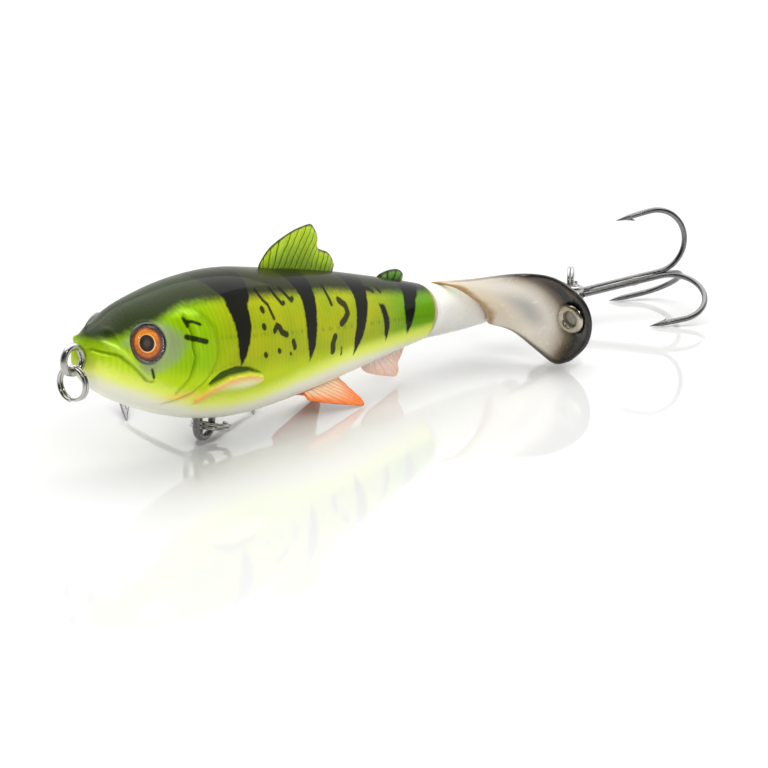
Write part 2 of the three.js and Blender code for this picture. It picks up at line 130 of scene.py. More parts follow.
def spline(points, t):
    """The point at t, counted in points, on a Catmull-Rom curve through them."""
    points = np.asarray(points, float)
    last = len(points) - 1
    i = int(min(max(math.floor(t), 0), last - 1))
    f = t - i
    before = points[i - 1] if i > 0 else 2 * points[0] - points[1]
    after = points[i + 2] if i + 2 <= last else 2 * points[last] - points[last - 1]
    a, b = points[i], points[i + 1]
    return 0.5 * (2 * a + (b - before) * f + (2 * before - 5 * a + 4 * b - after) * f * f
                  + (3 * a - before - 3 * b + after) * f ** 3)


def mesh_piece(name, vertices, faces):
    """A new object with that mesh, shaded smooth."""
    mesh = bpy.data.meshes.new(name)
    mesh.from_pydata([tuple(v) for v in vertices], [], faces)
    mesh.validate()
    mesh.shade_smooth()
    piece = bpy.data.objects.new(name, mesh)
    bpy.context.scene.collection.objects.link(piece)
    return piece


def apply_stack(piece):
    """Turns the piece's modifiers into mesh."""
    bpy.context.view_layer.update()
    graph = bpy.context.evaluated_depsgraph_get()
    mesh = bpy.data.meshes.new_from_object(piece.evaluated_get(graph))
    old = piece.data
    piece.modifiers.clear()
    piece.data = mesh
    bpy.data.meshes.remove(old)
    mesh.name = piece.name


def subdivide(piece, levels):
    """Smooths the cage with a subdivision surface."""
    stack = piece.modifiers.new("Smooth", "SUBSURF")
    stack.levels = stack.render_levels = levels
    stack.boundary_smooth = "PRESERVE_CORNERS"


def settle(piece, body, material, replaces=()):
    """Gives the piece its finish and hangs it on its body."""
    piece.data.materials.clear()
    piece.data.materials.append(material)
    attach(piece, body)
    if replaces:
        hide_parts(*replaces)


def turned(name, profile, place, steps=48, bevel=0.0):
    """A turned piece from a list of (distance, radius), closed at the axis or as a ring."""
    points = [Vector((radius, 0, along)) for along, radius in profile]
    ring = profile[0][1] > 0
    edges = [(i, i + 1) for i in range(len(points) - 1)] + ([(len(points) - 1, 0)] if ring else [])
    mesh = bpy.data.meshes.new(name)
    mesh.from_pydata(points, edges, [])
    piece = bpy.data.objects.new(name, mesh)
    bpy.context.scene.collection.objects.link(piece)
    screw = piece.modifiers.new("Turn", "SCREW")
    screw.steps = screw.render_steps = steps
    screw.use_merge_vertices = True
    screw.merge_threshold = 0.002
    screw.use_smooth_shade = True
    if bevel:
        edge = piece.modifiers.new("Edges", "BEVEL")
        edge.width = bevel
        edge.segments = 3
        edge.limit_method = "ANGLE"
        edge.angle_limit = math.radians(28)
    apply_stack(piece)
    clean(piece)
    piece.data.transform(place)
    smooth_edges(piece)
    return piece


def clean(piece, distance=1e-4):
    """Merges doubles and turns the faces outwards."""
    shape = bmesh.new()
    shape.from_mesh(piece.data)
    bmesh.ops.remove_doubles(shape, verts=shape.verts, dist=distance)
    bmesh.ops.recalc_face_normals(shape, faces=shape.faces)
    shape.to_mesh(piece.data)
    shape.free()


def smooth_edges(piece, angle=40):
    """Shades the mesh smooth except across sharp edges."""
    piece.data.shade_smooth()
    piece.data.set_sharp_from_angle(angle=math.radians(angle))


def wire(name, strands, radius, turns=5):
    """A piece of round wire from strands of (points, radii), in metres."""
    curve = bpy.data.curves.new(name, "CURVE")
    curve.dimensions = "3D"
    curve.bevel_depth = radius
    curve.bevel_resolution = turns
    curve.use_fill_caps = True
    for points, radii in strands:
        strand = curve.splines.new("POLY")
        strand.points.add(len(points) - 1)
        for i, point in enumerate(points):
            strand.points[i].co = (*point, 1)
            strand.points[i].radius = radii[i] if radii else 1
        strand.use_smooth = True
    piece = bpy.data.objects.new(name, curve)
    bpy.context.scene.collection.objects.link(piece)
    return piece


def axis_place(origin, direction):
    """A place in millimetres whose Z runs along a direction of the lure's axes."""
    turn = Vector(direction).to_track_quat("Z", "Y").to_matrix().to_4x4()
    return LURE @ Matrix.Translation(Vector(origin)) @ turn


ALONG_WIRE = LURE @ Matrix(((0, 0, 1, 0), (0, 1, 0, 0), (-1, 0, 0, 0), (0, 0, 0, 1)))


def store(mesh, name, values):
    """Keeps one number per vertex for the materials."""
    layer = mesh.attributes.new(name, "FLOAT", "POINT")
    layer.data.foreach_set("value", np.ascontiguousarray(values, np.float32))


def far_from_line(x, z, line):
    """Distance of each point to a polyline and how far along it the nearest place is."""
    line = np.asarray(line, float)
    best = np.full(len(x), 1e9)
    along = np.zeros(len(x))
    run = 0.0
    for a, b in zip(line[:-1], line[1:]):
        way = b - a
        length = math.hypot(*way)
        t = np.clip(((x - a[0]) * way[0] + (z - a[1]) * way[1]) / length ** 2, 0, 1)
        gap = np.hypot(x - a[0] - t * way[0], z - a[1] - t * way[1])
        nearer = gap < best
        best = np.where(nearer, gap, best)
        along = np.where(nearer, run + t * length, along)
        run += length
    return best, along


def depth_in(x, z, outline):
    """Signed distance to a closed outline, positive inside it."""
    outline = np.asarray(outline, float)
    ring = np.vstack([outline, outline[:1]])
    gap = far_from_line(x, z, ring)[0]
    inside = np.zeros(len(x), bool)
    for (ax, az), (bx, bz) in zip(ring[:-1], ring[1:]):
        crosses = (az > z) != (bz > z)
        rise = np.where(bz == az, 1e-9, bz - az)
        inside ^= crosses & (x < (bx - ax) * (z - az) / rise + ax)
    return np.where(inside, gap, -gap)


def smooth_step(value, low, high):
    """0 below low and 1 above high, with a soft ramp between."""
    t = np.clip((value - low) / (high - low), 0, 1)
    return t * t * (3 - 2 * t)


# Material helpers

class Finish:
    """A node material under construction. Each call adds a node and gives its output."""

    def __init__(self, name, **values):
        self.material = bpy.data.materials.new(name)
        self.material.use_nodes = True
        self.nodes = self.material.node_tree.nodes
        self.links = self.material.node_tree.links
        self.shader = self.nodes["Principled BSDF"]
        for socket, value in values.items():
            self.shader.inputs[socket.replace("_", " ")].default_value = value

    def node(self, kind, output=0, settings=None, **inputs):
        made = self.nodes.new(kind)
        for key, value in (settings or {}).items():
            setattr(made, key, value)
        for key, value in inputs.items():
            socket = made.inputs[int(key[1:])] if key[1:].isdigit() else made.inputs[key]
            self.feed(socket, value)
        return made.outputs[output]

    def feed(self, socket, value):
        if isinstance(value, bpy.types.NodeSocket):
            self.links.new(value, socket)
        elif socket.type == "RGBA":
            socket.default_value = (*value, 1)
        else:
            socket.default_value = value

    def set(self, socket, value):
        self.feed(self.shader.inputs[socket], value)

    def mark(self, name):
        return self.node("ShaderNodeAttribute", "Fac", {"attribute_name": name})

    def noise(self, scale, detail, vector=None):
        vector = vector or self.node("ShaderNodeTexCoord", "Object")
        return self.node("ShaderNodeTexNoise", "Fac", Vector=vector, Scale=scale, Detail=detail,
                         Roughness=0.55)

    def maths(self, operation, a, b=0.0):
        return self.node("ShaderNodeMath", 0, {"operation": operation}, _0=a, _1=b)

    def times(self, a, b):
        return self.maths("MULTIPLY", a, b)

    def sway(self, noise, amount):
        """The noise about zero, that much from end to end."""
        return self.times(self.maths("SUBTRACT", noise, 0.5), amount)

    def fade(self, value, low, high, start=0.0, end=1.0):
        return self.node("ShaderNodeMapRange", 0, {"interpolation_type": "SMOOTHSTEP"},
                         _0=value, _1=low, _2=high, _3=start, _4=end)

    def blend(self, factor, a, b, mode="MIX"):
        return self.node("ShaderNodeMix", 2, {"data_type": "RGBA", "blend_type": mode},
                         _0=factor, _6=a, _7=b)

    def ramp(self, value, stops):
        made = self.nodes.new("ShaderNodeValToRGB")
        self.feed(made.inputs[0], value)
        while len(made.color_ramp.elements) < len(stops):
            made.color_ramp.elements.new(0.5)
        for element, (at, colour) in zip(made.color_ramp.elements, stops):
            element.position = at
            element.color = (*colour, 1)
        return made.outputs[0]

    def bump(self, height, strength, distance):
        self.set("Normal", self.node("ShaderNodeBump", 0, Height=height, Strength=strength,
                                     Distance=distance))
        return self


def colours():
    return bpy.context.scene.lure_colours


def sizes():
    return bpy.context.scene.lure_sizes


def metal_finish(name, colour, roughness, grain=900.0, wear=0.25):
    """Plated wire: fine drawn grain, small stains and a little unevenness in the shine."""
    made = Finish(name, Metallic=1.0)
    stains = made.noise(grain * 0.35, 4)
    fine = made.noise(grain * 4, 2)
    made.set("Base Color", made.blend(made.fade(stains, 0.35, 0.75, 0, wear), tuple(colour),
                                      tuple(c * 0.55 for c in colour)))
    made.set("Roughness", made.fade(made.maths("ADD", stains, made.times(fine, 0.3)),
                                    0.3, 1.0, roughness * 0.7, roughness * 1.7))
    return made.bump(fine, 0.12, 0.00004).material


# Body

BARS = [
    [(21.5, 11), (24.1, 7.6), (23.9, 6.7), (24.7, 4.1), (25.3, 0.9), (25.6, -0.9), (26.3, -2.6),
     (27.2, -1.2), (27.9, 0.7), (28.5, 3.7), (28.4, 6.4), (29.4, 7.4), (31, 11)],
    [(38.5, 11.5), (40.9, 9.2), (41.7, 6.2), (41.5, 3.8), (41.8, 0.5), (42.4, -1.5), (43.3, -3.8),
     (44.3, -1.5), (44.4, 0.4), (44.7, 3.5), (45.3, 5.8), (46.2, 8.8), (49.5, 11.5)],
    [(54.5, 10), (55.8, 7.9), (55.9, 4.8), (55.5, 2.4), (55.0, -1.2), (55.7, -4.3), (57.6, -1.0),
     (58.7, 2.1), (59.6, 4.4), (61.0, 7.4), (63, 9.5)],
    [(62.5, 3.7), (64.3, 3.4), (65.3, 1.2), (65.7, -0.4), (65.2, -2.9), (64.1, -1.4), (63.7, 0.6)],
    [(70.3, 8), (71.6, 5.9), (70.6, 3.4), (70.1, 2.1), (70.6, -0.3), (71.6, -2.6), (72.8, -0.6),
     (73.8, 1.8), (74.3, 3.0), (77.4, 4.9), (78, 6)],
]
INK = [
    ([(31.4, 8.4), (32.1, 7.0), (33.0, 6.2), (33.3, 5.2), (33.8, 4.1)], 0.30),
    ([(35.0, 8.3), (35.6, 7.1), (36.5, 6.0), (37.0, 6.2)], 0.34),
    ([(37.4, 8.2), (38.2, 7.2), (38.9, 6.3), (39.6, 6.6)], 0.34),
    ([(31.4, 5.7), (31.5, 5.5)], 0.5), ([(31.2, 3.2), (31.3, 3.0)], 0.5),
    ([(33.7, 2.3), (34.3, 3.0), (35.0, 2.6), (35.4, 1.9), (36.6, 1.4)], 0.50),
    ([(31.6, -1.1), (31.9, -1.4)], 0.40), ([(34.8, -0.8), (35.1, -1.1)], 0.38),
    ([(37.8, -1.6), (38.0, -1.8)], 0.28), ([(38.3, 0.2), (38.8, -0.8)], 0.48),
    ([(48.7, 7.6), (48.8, 6.2), (49.1, 4.8)], 0.38),
    ([(51.4, 5.2), (52.8, 4.3), (53.1, 3.1), (52.2, 2.2), (51.2, 1.7)], 0.60),
    ([(49.4, -0.3), (49.0, -1.3), (49.3, -2.5)], 0.66), ([(51.6, -2.2), (51.9, -3.4)], 0.24),
    ([(59.6, 6.1), (61.0, 6.0), (62.2, 5.5)], 0.34), ([(63.8, 5.7), (64.3, 5.2)], 0.36),
    ([(8.8, -1.5), (9.2, -2.3), (9.4, -2.8)], 0.22),
    ([(14.7, 2.9), (16.4, 2.5), (18.4, 2.0)], 0.40), ([(15.4, 5.0), (16.4, 4.9), (17.6, 4.5)], 0.24),
    ([(14.9, 5.3), (15.2, 4.5)], 0.42),
]
BACK_EDGE = [(0, 2.9), (1.5, 2.9), (2.8, 3.1), (4.7, 3.6), (7.1, 4.6), (9.9, 5.2), (12.9, 6.4),
             (15.9, 7.4), (19.5, 7.7), (23.7, 7.8), (31.8, 7.6), (42, 7.2), (50.4, 6.8),
             (61.6, 5.5), (70.7, 4.5), (81, 3.6)]
PALE_EDGE = [(0, 0.1), (4.1, -1.7), (9.5, -3.5), (15.2, -5.3), (20.9, -6.9), (27, -7.2),
             (33, -6.7), (41.9, -4.9), (54.3, -3.0), (69.7, -2.2), (81, -1.9)]
MOUTH = [(0.5, 1.6), (3.5, 0.8), (5.6, -0.8), (8.2, -3.2), (9.6, -3.6)]
MAXILLA = [(2.0, 2.5), (3.4, 1.6), (5.2, 0.0), (7.0, -1.7), (8.9, -3.3)]
CHEEK_LINE = [(15.0, 5.6), (15.8, 3.3), (15.8, 1.4), (16.4, -0.1), (15.9, -3.2), (14.4, -5.6)]
GILL_LINE = [(12.8, 8.4), (15.5, 7.6), (17.9, 6.1), (20.0, 3.7), (20.9, 0.9), (20.6, -1.6),
             (19.2, -3.9), (17.2, -5.8), (13.5, -7.3)]
PECTORAL = [(18.1, -6.7), (20.6, -5.1), (24.2, -3.95), (28.5, -3.65), (31.6, -4.3), (31.7, -5.3),
            (30.6, -6.1), (27.7, -6.9), (24.8, -7.4), (20.9, -7.7), (18.6, -7.9)]
PECTORAL_TOP = [(18.1, -6.6), (20.6, -5.0), (24.2, -3.9), (28.5, -3.6), (31.5, -4.2), (31.9, -4.9)]
PECTORAL_SHADE = [(19.9, -4.9), (20.7, -4.0), (22.2, -2.9), (25.3, -2.3), (28.3, -2.7), (31.2, -3.8),
                  (31.5, -4.2), (28.5, -3.6), (24.2, -3.9), (20.6, -5.1)]
FRILL = [(19.8, -3.3), (21.1, -2.6), (22.7, -2.1), (25.8, -1.6), (27.0, -1.9)]
SIDE_LINE = [(21.3, 2.3), (32.4, 1.9), (44.6, 1.3), (58.7, 0.8), (74.9, 0.2), (80, 0.0)]


def body_cage(around):
    """A closed cage round the whole body, its rings closer together on the head."""
    rings = [0, 0.4, 0.75, 1, 1.3, 1.65, 2, 2.25, 2.5, 2.75, 3, 3.17, 3.34, 3.5, 3.67, 3.84]
    rings += [4, 4.25, 4.5, 4.75, 5, 5.25, 5.5, 5.75, 6, 6.2, 6.4, 6.6, 6.8, 7, 7.2, 7.4, 7.6, 7.8]
    rings += [8, 8.25, 8.5, 8.75, 8.97, 9]
    vertices, faces = [], []
    for t in rings:
        x, top, bottom, half = spline(STATIONS, t)
        for j in range(around):
            angle = 2 * math.pi * j / around
            across, rise = math.cos(angle), math.sin(angle)
            y = math.copysign(abs(across) ** SECTION_POWER, across) * half
            z = math.copysign(abs(rise) ** SECTION_POWER, rise) * (top if rise > 0 else bottom)
            vertices.append((x, y, z))
    for i in range(len(rings) - 1):
        for j in range(around):
            a, b = i * around + j, i * around + (j + 1) % around
            faces.append((a, b, b + around, a + around))
    front = len(vertices)
    vertices += [(x, y * 0.55, z * 0.55) for x, y, z in vertices[:around]]
    back = len(vertices)
    last = (len(rings) - 1) * around
    vertices += [(x, y * 0.3, z * 0.3) for x, y, z in vertices[last:last + around]]
    for j in range(around):
        k = (j + 1) % around
        faces.append((front + j, front + k, k, j))
        faces.append((last + j, last + k, back + k, back + j))
    faces.append(tuple(front + j for j in reversed(range(around))))
    faces.append(tuple(back + j for j in range(around)))
    return vertices, faces


def section_rise(x, z):
    """How high each point lies in its section, from -1 at the belly to 1 at the back."""
    samples = np.array([spline(STATIONS, t) for t in np.linspace(0, 9, 120)])
    top = np.interp(x, samples[:, 0], samples[:, 1])
    bottom = np.interp(x, samples[:, 0], samples[:, 2])
    return np.where(z > 0, z / top, z / bottom)


def moulded(x, y, z, relief):
    """How far the skin stands out of the plain body at each point."""
    side = smooth_step(np.abs(y), 0.6, 2.2)
    gill = far_from_line(x, z, GILL_LINE)[0]
    ahead = depth_in(x, z, [(-5, 8.6), *GILL_LINE, (8, -7.6), (-5, -8)])
    low = smooth_step(-z, -6.9, -5.4)
    out = 0.34 * smooth_step(ahead, -0.18, 0.12) * smooth_step(x, 9.5, 17) * low
    out -= 0.16 * np.exp(-((gill - 0.35) / 0.3) ** 2) * (ahead < 0) * low
    cheek = far_from_line(x, z, CHEEK_LINE)[0]
    out -= 0.30 * np.exp(-(cheek / 0.24) ** 2)
    out += 0.14 * np.exp(-((cheek - 0.75) / 0.5) ** 2)
    out -= 0.42 * np.exp(-(far_from_line(x, z, MOUTH)[0] / 0.26) ** 2)
    out += 0.40 * np.exp(-(far_from_line(x, z, MAXILLA)[0] / 0.42) ** 2)
    edge = far_from_line(x, z, PECTORAL_TOP)[0]
    fin = depth_in(x, z, PECTORAL)
    lift = smooth_step(fin, -0.12, 0.14) * np.exp(-(edge / 1.7) ** 2)
    ray = 0.06 * np.sin((z + 0.35 * x) * 9.0) * smooth_step(fin, 0.2, 0.6)
    out += 0.62 * lift + ray * np.exp(-edge / 2.5)
    shade = depth_in(x, z, PECTORAL_SHADE)
    out -= 0.36 * smooth_step(shade, -0.1, 0.35)
    frill, along = far_from_line(x, z, FRILL)
    out += 0.12 * np.exp(-(frill / 0.2) ** 2) * (0.5 + 0.5 * np.sin(along * 11))
    line, along = far_from_line(x, z, SIDE_LINE)
    out -= 0.035 * np.exp(-(line / 0.22) ** 2) * (0.5 + 0.5 * np.sin(along * 13))
    out *= side
    out += 0.20 * np.exp(-(((x - 3.2) / 0.7) ** 2 + ((z - 4.3) / 0.5) ** 2)) * side
    return out * relief


def shell_finish():
    """Lime foil under a clear coat: dark back and bars, cream belly, orange at the fins."""
    c = colours()
    made = Finish("painted_shell_finish", Roughness=0.32, Coat_Weight=0.34, Coat_Roughness=0.025,
                  Coat_IOR=1.3, Specular_IOR_Level=0.03)
    along, height, rise = made.mark("along"), made.mark("height"), made.mark("rise")
    flat = made.node("ShaderNodeCombineXYZ", 0, X=along, Y=height)
    cloud = made.noise(0.22, 4, flat)
    small = made.noise(1.6, 4, flat)
    grain = made.noise(9.0, 3, flat)
    hatch = made.node("ShaderNodeTexWave", "Fac", {"wave_type": "BANDS", "bands_direction": "X"},
                      Vector=made.node("ShaderNodeMapping", 0, Vector=flat,
                                       Rotation=(0, 0, math.radians(-9))),
                      Scale=0.36, Distortion=5.0, Detail=3.0, _4=0.22)
    body = made.blend(made.fade(cloud, 0.35, 0.68), tuple(c.flank), (0.30, 0.38, 0.0004))
    head = made.fade(along, 17.5, 26, 1, 0)
    body = made.blend(head, body, tuple(c.head))
    snout = made.times(made.fade(along, 5, 14, 1, 0), made.fade(height, 0.5, 3.0, 1, 0))
    body = made.blend(snout, body, (0.48, 0.68, 0.018))
    body = made.blend(made.fade(along, 58, 74), body, (0.13, 0.33, 0.001))
    body = made.blend(made.fade(hatch, 0.35, 0.95, 0.0, 0.17), body,
                      made.blend(1.0, body, (0.45, 0.5, 0.3), "MULTIPLY"))
    glow = made.times(made.fade(rise, -0.42, -0.12, 1, 0), 0.75)
    body = made.blend(glow, body, (0.50, 0.66, 0.006))
    pale = made.maths("ADD", made.mark("pale"), made.sway(small, 0.9))
    body = made.blend(made.fade(pale, -1.2, 1.6), body, (0.78, 0.85, 0.15))
    body = made.blend(made.fade(pale, 0.9, 3.3), body, tuple(c.belly))
    orange = made.times(made.mark("orange"), made.fade(small, 0.2, 0.6, 0.7, 1.0))
    body = made.blend(orange, body, (0.90, 0.42, 0.10))
    cream = made.mark("cream")
    body = made.blend(cream, body, (0.93, 0.84, 0.62))
    rim = made.mark("fin_edge")
    body = made.blend(rim, body, (0.55, 0.75, 0.03))
    shade = made.fade(made.mark("shade"), -0.15, 0.35, 0, 0.93)
    body = made.blend(shade, body, (0.012, 0.045, 0.003))
    ticks = made.mark("ticks")
    body = made.blend(made.times(ticks, 0.42), body, (0.10, 0.16, 0.004))
    # Painted reflection: a soft grey cloud around the eye, where the clear coat would mirror the lights.
    eye_reflection = made.times(made.mark("eye_reflection"), made.fade(cloud, 0.3, 0.6, 1.1, 1.6))
    body = made.blend(eye_reflection, body, (0.27, 0.31, 0.20))
    ragged = made.sway(small, 0.8)
    back = made.fade(made.maths("ADD", made.mark("back"), ragged), -1.0, 0.7)
    body = made.blend(made.times(back, made.fade(grain, 0.2, 0.7, 1.0, 0.93)), body,
                      tuple(c.back))
    blot = made.sway(small, 0.55)
    bars = made.fade(made.maths("ADD", made.mark("bars"), blot), -0.18, 0.28)
    strength = made.fade(made.mark("back"), 0.8, 3.5, 0.99, 0.5)
    body = made.blend(made.times(bars, strength), body, tuple(c.bar))
    ink = made.fade(made.maths("ADD", made.mark("ink"), made.times(blot, 0.4)), -0.14, 0.14)
    body = made.blend(made.times(ink, 0.93), body, tuple(c.bar))
    # Painted shade: dark green laid into the moulded creases of the cheek, mouth, gill line and frill.
    crease_shade = made.mark("crease_shade")
    body = made.blend(made.times(crease_shade, 0.5), body, (0.02, 0.07, 0.003))
    # Painted highlight: a paler lime line along the raised maxilla ridge.
    body = made.blend(made.mark("lip_highlight"), body, (0.50, 0.72, 0.10))
    body = made.blend(made.mark("rear_edge"), body, (0.45, 0.22, 0.03))
    made.set("Base Color", body)
    made.set("Roughness", made.fade(made.maths("ADD", grain, made.times(cloud, 0.5)),
                                    0.4, 1.1, 0.24, 0.42))
    foil = made.times(made.times(made.fade(rise, -0.5, 0.0), 0.55),
                      made.maths("SUBTRACT", 1.0, made.maths("MAXIMUM", back, bars)))
    made.set("Metallic", made.times(foil, 0.45))
    made.bump(made.maths("ADD", made.times(hatch, 0.5), made.times(grain, 0.5)),
              0.08, 0.00005)
    return made.material


class LURE_OT_body(bpy.types.Operator):
    """Two painted shell halves with a moulded head, gill covers and pectoral fins"""
    bl_idname = "lure.make_body"
    bl_label = "Body shells"
    bl_options = {"UNDO"}

    def execute(self, context):
        vertices, faces = body_cage(sizes().around)
        whole = mesh_piece("body_cage", vertices, faces)
        subdivide(whole, sizes().smoothing)
        apply_stack(whole)
        mesh = whole.data
        count = len(mesh.vertices)
        place = np.zeros(count * 3)
        normal = np.zeros(count * 3)
        mesh.vertices.foreach_get("co", place)
        mesh.vertex_normals.foreach_get("vector", normal)
        place, normal = place.reshape(-1, 3), normal.reshape(-1, 3)
        x, y, z = place.T.copy()
        place += normal * moulded(x, y, z, sizes().relief)[:, None]
        for side in (-1, 1):
            look = np.array(EYE_NORMAL) * (1, side, 1)
            centre = np.array(EYE_PLACE) * (1, side, 1)
            from_eye = place - centre
            depth = from_eye @ look
            radius = np.linalg.norm(from_eye - depth[:, None] * look, axis=1)
            near = (1 - smooth_step(radius, EYE_RADIUS - 0.1, EYE_RADIUS + 0.2)) * (np.abs(depth) < 4)
            collar = np.exp(-((radius - EYE_RADIUS - 0.45) / 0.28) ** 2) * (np.abs(depth) < 3)
            place += look * ((-0.75 - depth) * near + collar * 0.16)[:, None]
        mesh.vertices.foreach_set("co", place.ravel())
        self.paint(mesh, x, y, z)
        mesh.update()
        for name, side in (("left", -1), ("right", 1)):
            half = whole.copy()
            half.data = mesh.copy()
            half.name = half.data.name = f"{name}_shell_skin"
            context.scene.collection.objects.link(half)
            shape = bmesh.new()
            shape.from_mesh(half.data)
            plane = shape.verts[:] + shape.edges[:] + shape.faces[:]
            cut = bmesh.ops.bisect_plane(shape, geom=plane, plane_co=(0, side * 0.012, 0),
                                         plane_no=(0, side, 0), clear_inner=True, dist=1e-5)
            rim = [e for e in cut["geom_cut"] if isinstance(e, bmesh.types.BMEdge)]
            bmesh.ops.holes_fill(shape, edges=rim, sides=0)
            shape.to_mesh(half.data)
            shape.free()
            half.data.transform(LURE)
            smooth_edges(half, 50)
            settle(half, "lure_body", SHARED["shell"], [f"body_{name}_shell"])
        bpy.data.objects.remove(whole)
        return {"FINISHED"}

    def paint(self, mesh, x, y, z):
        """Stores where every mark of the paint lies."""
        flank = smooth_step(np.abs(y), 0.4, 1.2)
        store(mesh, "along", x)
        store(mesh, "height", z)
        store(mesh, "rise", section_rise(x, z))
        edge = np.array(BACK_EDGE)
        store(mesh, "back", z - np.interp(x, edge[:, 0], edge[:, 1]))
        edge = np.array(PALE_EDGE)
        store(mesh, "pale", np.interp(x, edge[:, 0], edge[:, 1]) - z)
        store(mesh, "bars", np.max([depth_in(x, z, bar) for bar in BARS], axis=0))
        store(mesh, "ink", np.max([width - far_from_line(x, z, line)[0] for line, width in INK], axis=0))
        line, along = far_from_line(x, z, SIDE_LINE)
        store(mesh, "ticks", np.exp(-(line / 0.3) ** 4) * smooth_step(np.sin(along * 13), -0.1, 0.5))
        # Painted shade in the moulded creases: cheek line, mouth, gill line and the frill's beads.
        crease_shade = np.exp(-(far_from_line(x, z, CHEEK_LINE)[0] / 0.2) ** 2)
        crease_shade = np.maximum(crease_shade, np.exp(-(far_from_line(x, z, MOUTH)[0] / 0.2) ** 2))
        gill = far_from_line(x, z, GILL_LINE)[0]
        low = smooth_step(-z, -6.9, -5.4)
        crease_shade = np.maximum(crease_shade * low, 0.8 * low * np.exp(-((gill - 0.15) / 0.22) ** 2))
        frill, along = far_from_line(x, z, FRILL)
        crease_shade = np.maximum(crease_shade, 0.8 * np.exp(-(frill / 0.14) ** 2) * (0.5 + 0.5 * np.sin(along * 11)))
        store(mesh, "crease_shade", crease_shade * flank)
        # Painted highlight along the raised maxilla ridge.
        store(mesh, "lip_highlight", 0.6 * np.exp(-(far_from_line(x, z, MAXILLA)[0] / 0.28) ** 2) * flank)
        fin = depth_in(x, z, PECTORAL)
        top = far_from_line(x, z, PECTORAL_TOP)[0]
        inside = smooth_step(fin, -0.1, 0.25)
        store(mesh, "orange", np.maximum(
            inside * np.exp(-(np.maximum(top - 0.5, 0) / 1.0) ** 2) * (1 - 0.35 * smooth_step(x, 24, 31)),
            0.75 * np.exp(-(((x - 16.0) / 2.4) ** 2 + ((z + 6.1) / 0.7) ** 2))) * flank)
        store(mesh, "cream", inside * 0.75 * np.exp(-(((x - 28) / 5) ** 2 + ((z + 5.3) / 0.8) ** 2)))
        store(mesh, "fin_edge", inside * np.exp(-(top / 0.25) ** 2) * smooth_step(x, 19, 21))
        store(mesh, "shade", depth_in(x, z, PECTORAL_SHADE))
        # Painted reflection around the eye: a grey patch over the cheek.
        cheek = depth_in(x, z, [(3.6, 2.4), (5.4, 3.6), (8, 5.6), (11.5, 5.4), (14.0, 3.6), (14.9, 1.8),
                                (13.6, -0.4), (10.6, -2.2), (8.0, -3.1), (6.4, -1.4), (6.0, 1.0)])
        store(mesh, "eye_reflection", 0.5 * smooth_step(cheek, -0.7, 1.4) * flank)
        store(mesh, "rear_edge", smooth_step(x, BODY_END - 0.55, BODY_END - 0.25))


# Eyes

def iris_finish():
    """A printed iris: dark rim, streaked amber, thin bright ring and a brown pupil."""
    made = Finish("eye_iris_finish", Roughness=0.3, Coat_Weight=0.6, Coat_Roughness=0.05)
    ring, turn, lift = made.mark("ring"), made.mark("turn"), made.mark("lift")
    streak = made.noise(1.0, 5, made.node("ShaderNodeCombineXYZ", 0, X=made.times(turn, 9.0),
                                          Y=made.times(ring, 1.2)))
    amber = made.blend(made.fade(streak, 0.35, 0.75), tuple(colours().iris),
                       (0.95, 0.40, 0.02))
    amber = made.blend(made.fade(lift, -0.4, 0.9, 0.55, 0.0), amber, (0.28, 0.035, 0.006))
    amber = made.blend(made.fade(ring, 1.9, 2.3), amber, (0.16, 0.02, 0.004))
    look = made.blend(made.fade(ring, 1.36, 1.44), (0.85, 0.50, 0.16), amber)
    look = made.blend(made.fade(ring, 1.2, 1.28), (0.032, 0.02, 0.016), look)
    look = made.blend(made.fade(ring, 0.2, 1.0, 0.7, 0.0), look, (0.12, 0.085, 0.07))
    look = made.blend(made.fade(ring, 2.38, 2.5), look, (0.02, 0.019, 0.018))
    made.set("Base Color", look)
    return made.bump(streak, 0.15, 0.00005).material


def lens_finish():
    made = Finish("eye_lens_finish", Roughness=0.02, IOR=1.08, Transmission_Weight=1.0, Coat_Weight=0.7,
                  Coat_Roughness=0.01, Coat_IOR=1.4)
    made.set("Base Color", (0.99, 0.985, 0.97))
    made.set("Roughness", made.fade(made.noise(1500, 3), 0.4, 0.8, 0.012, 0.05))
    return made.material


def rim_finish():
    made = Finish("eye_rim_finish", Coat_Weight=1.0, Coat_Roughness=0.05)
    cloud = made.noise(2600, 4)
    made.set("Base Color", made.blend(cloud, (0.012, 0.013, 0.010), (0.06, 0.065, 0.055)))
    made.set("Roughness", made.fade(cloud, 0.3, 0.7, 0.15, 0.3))
    return made.material


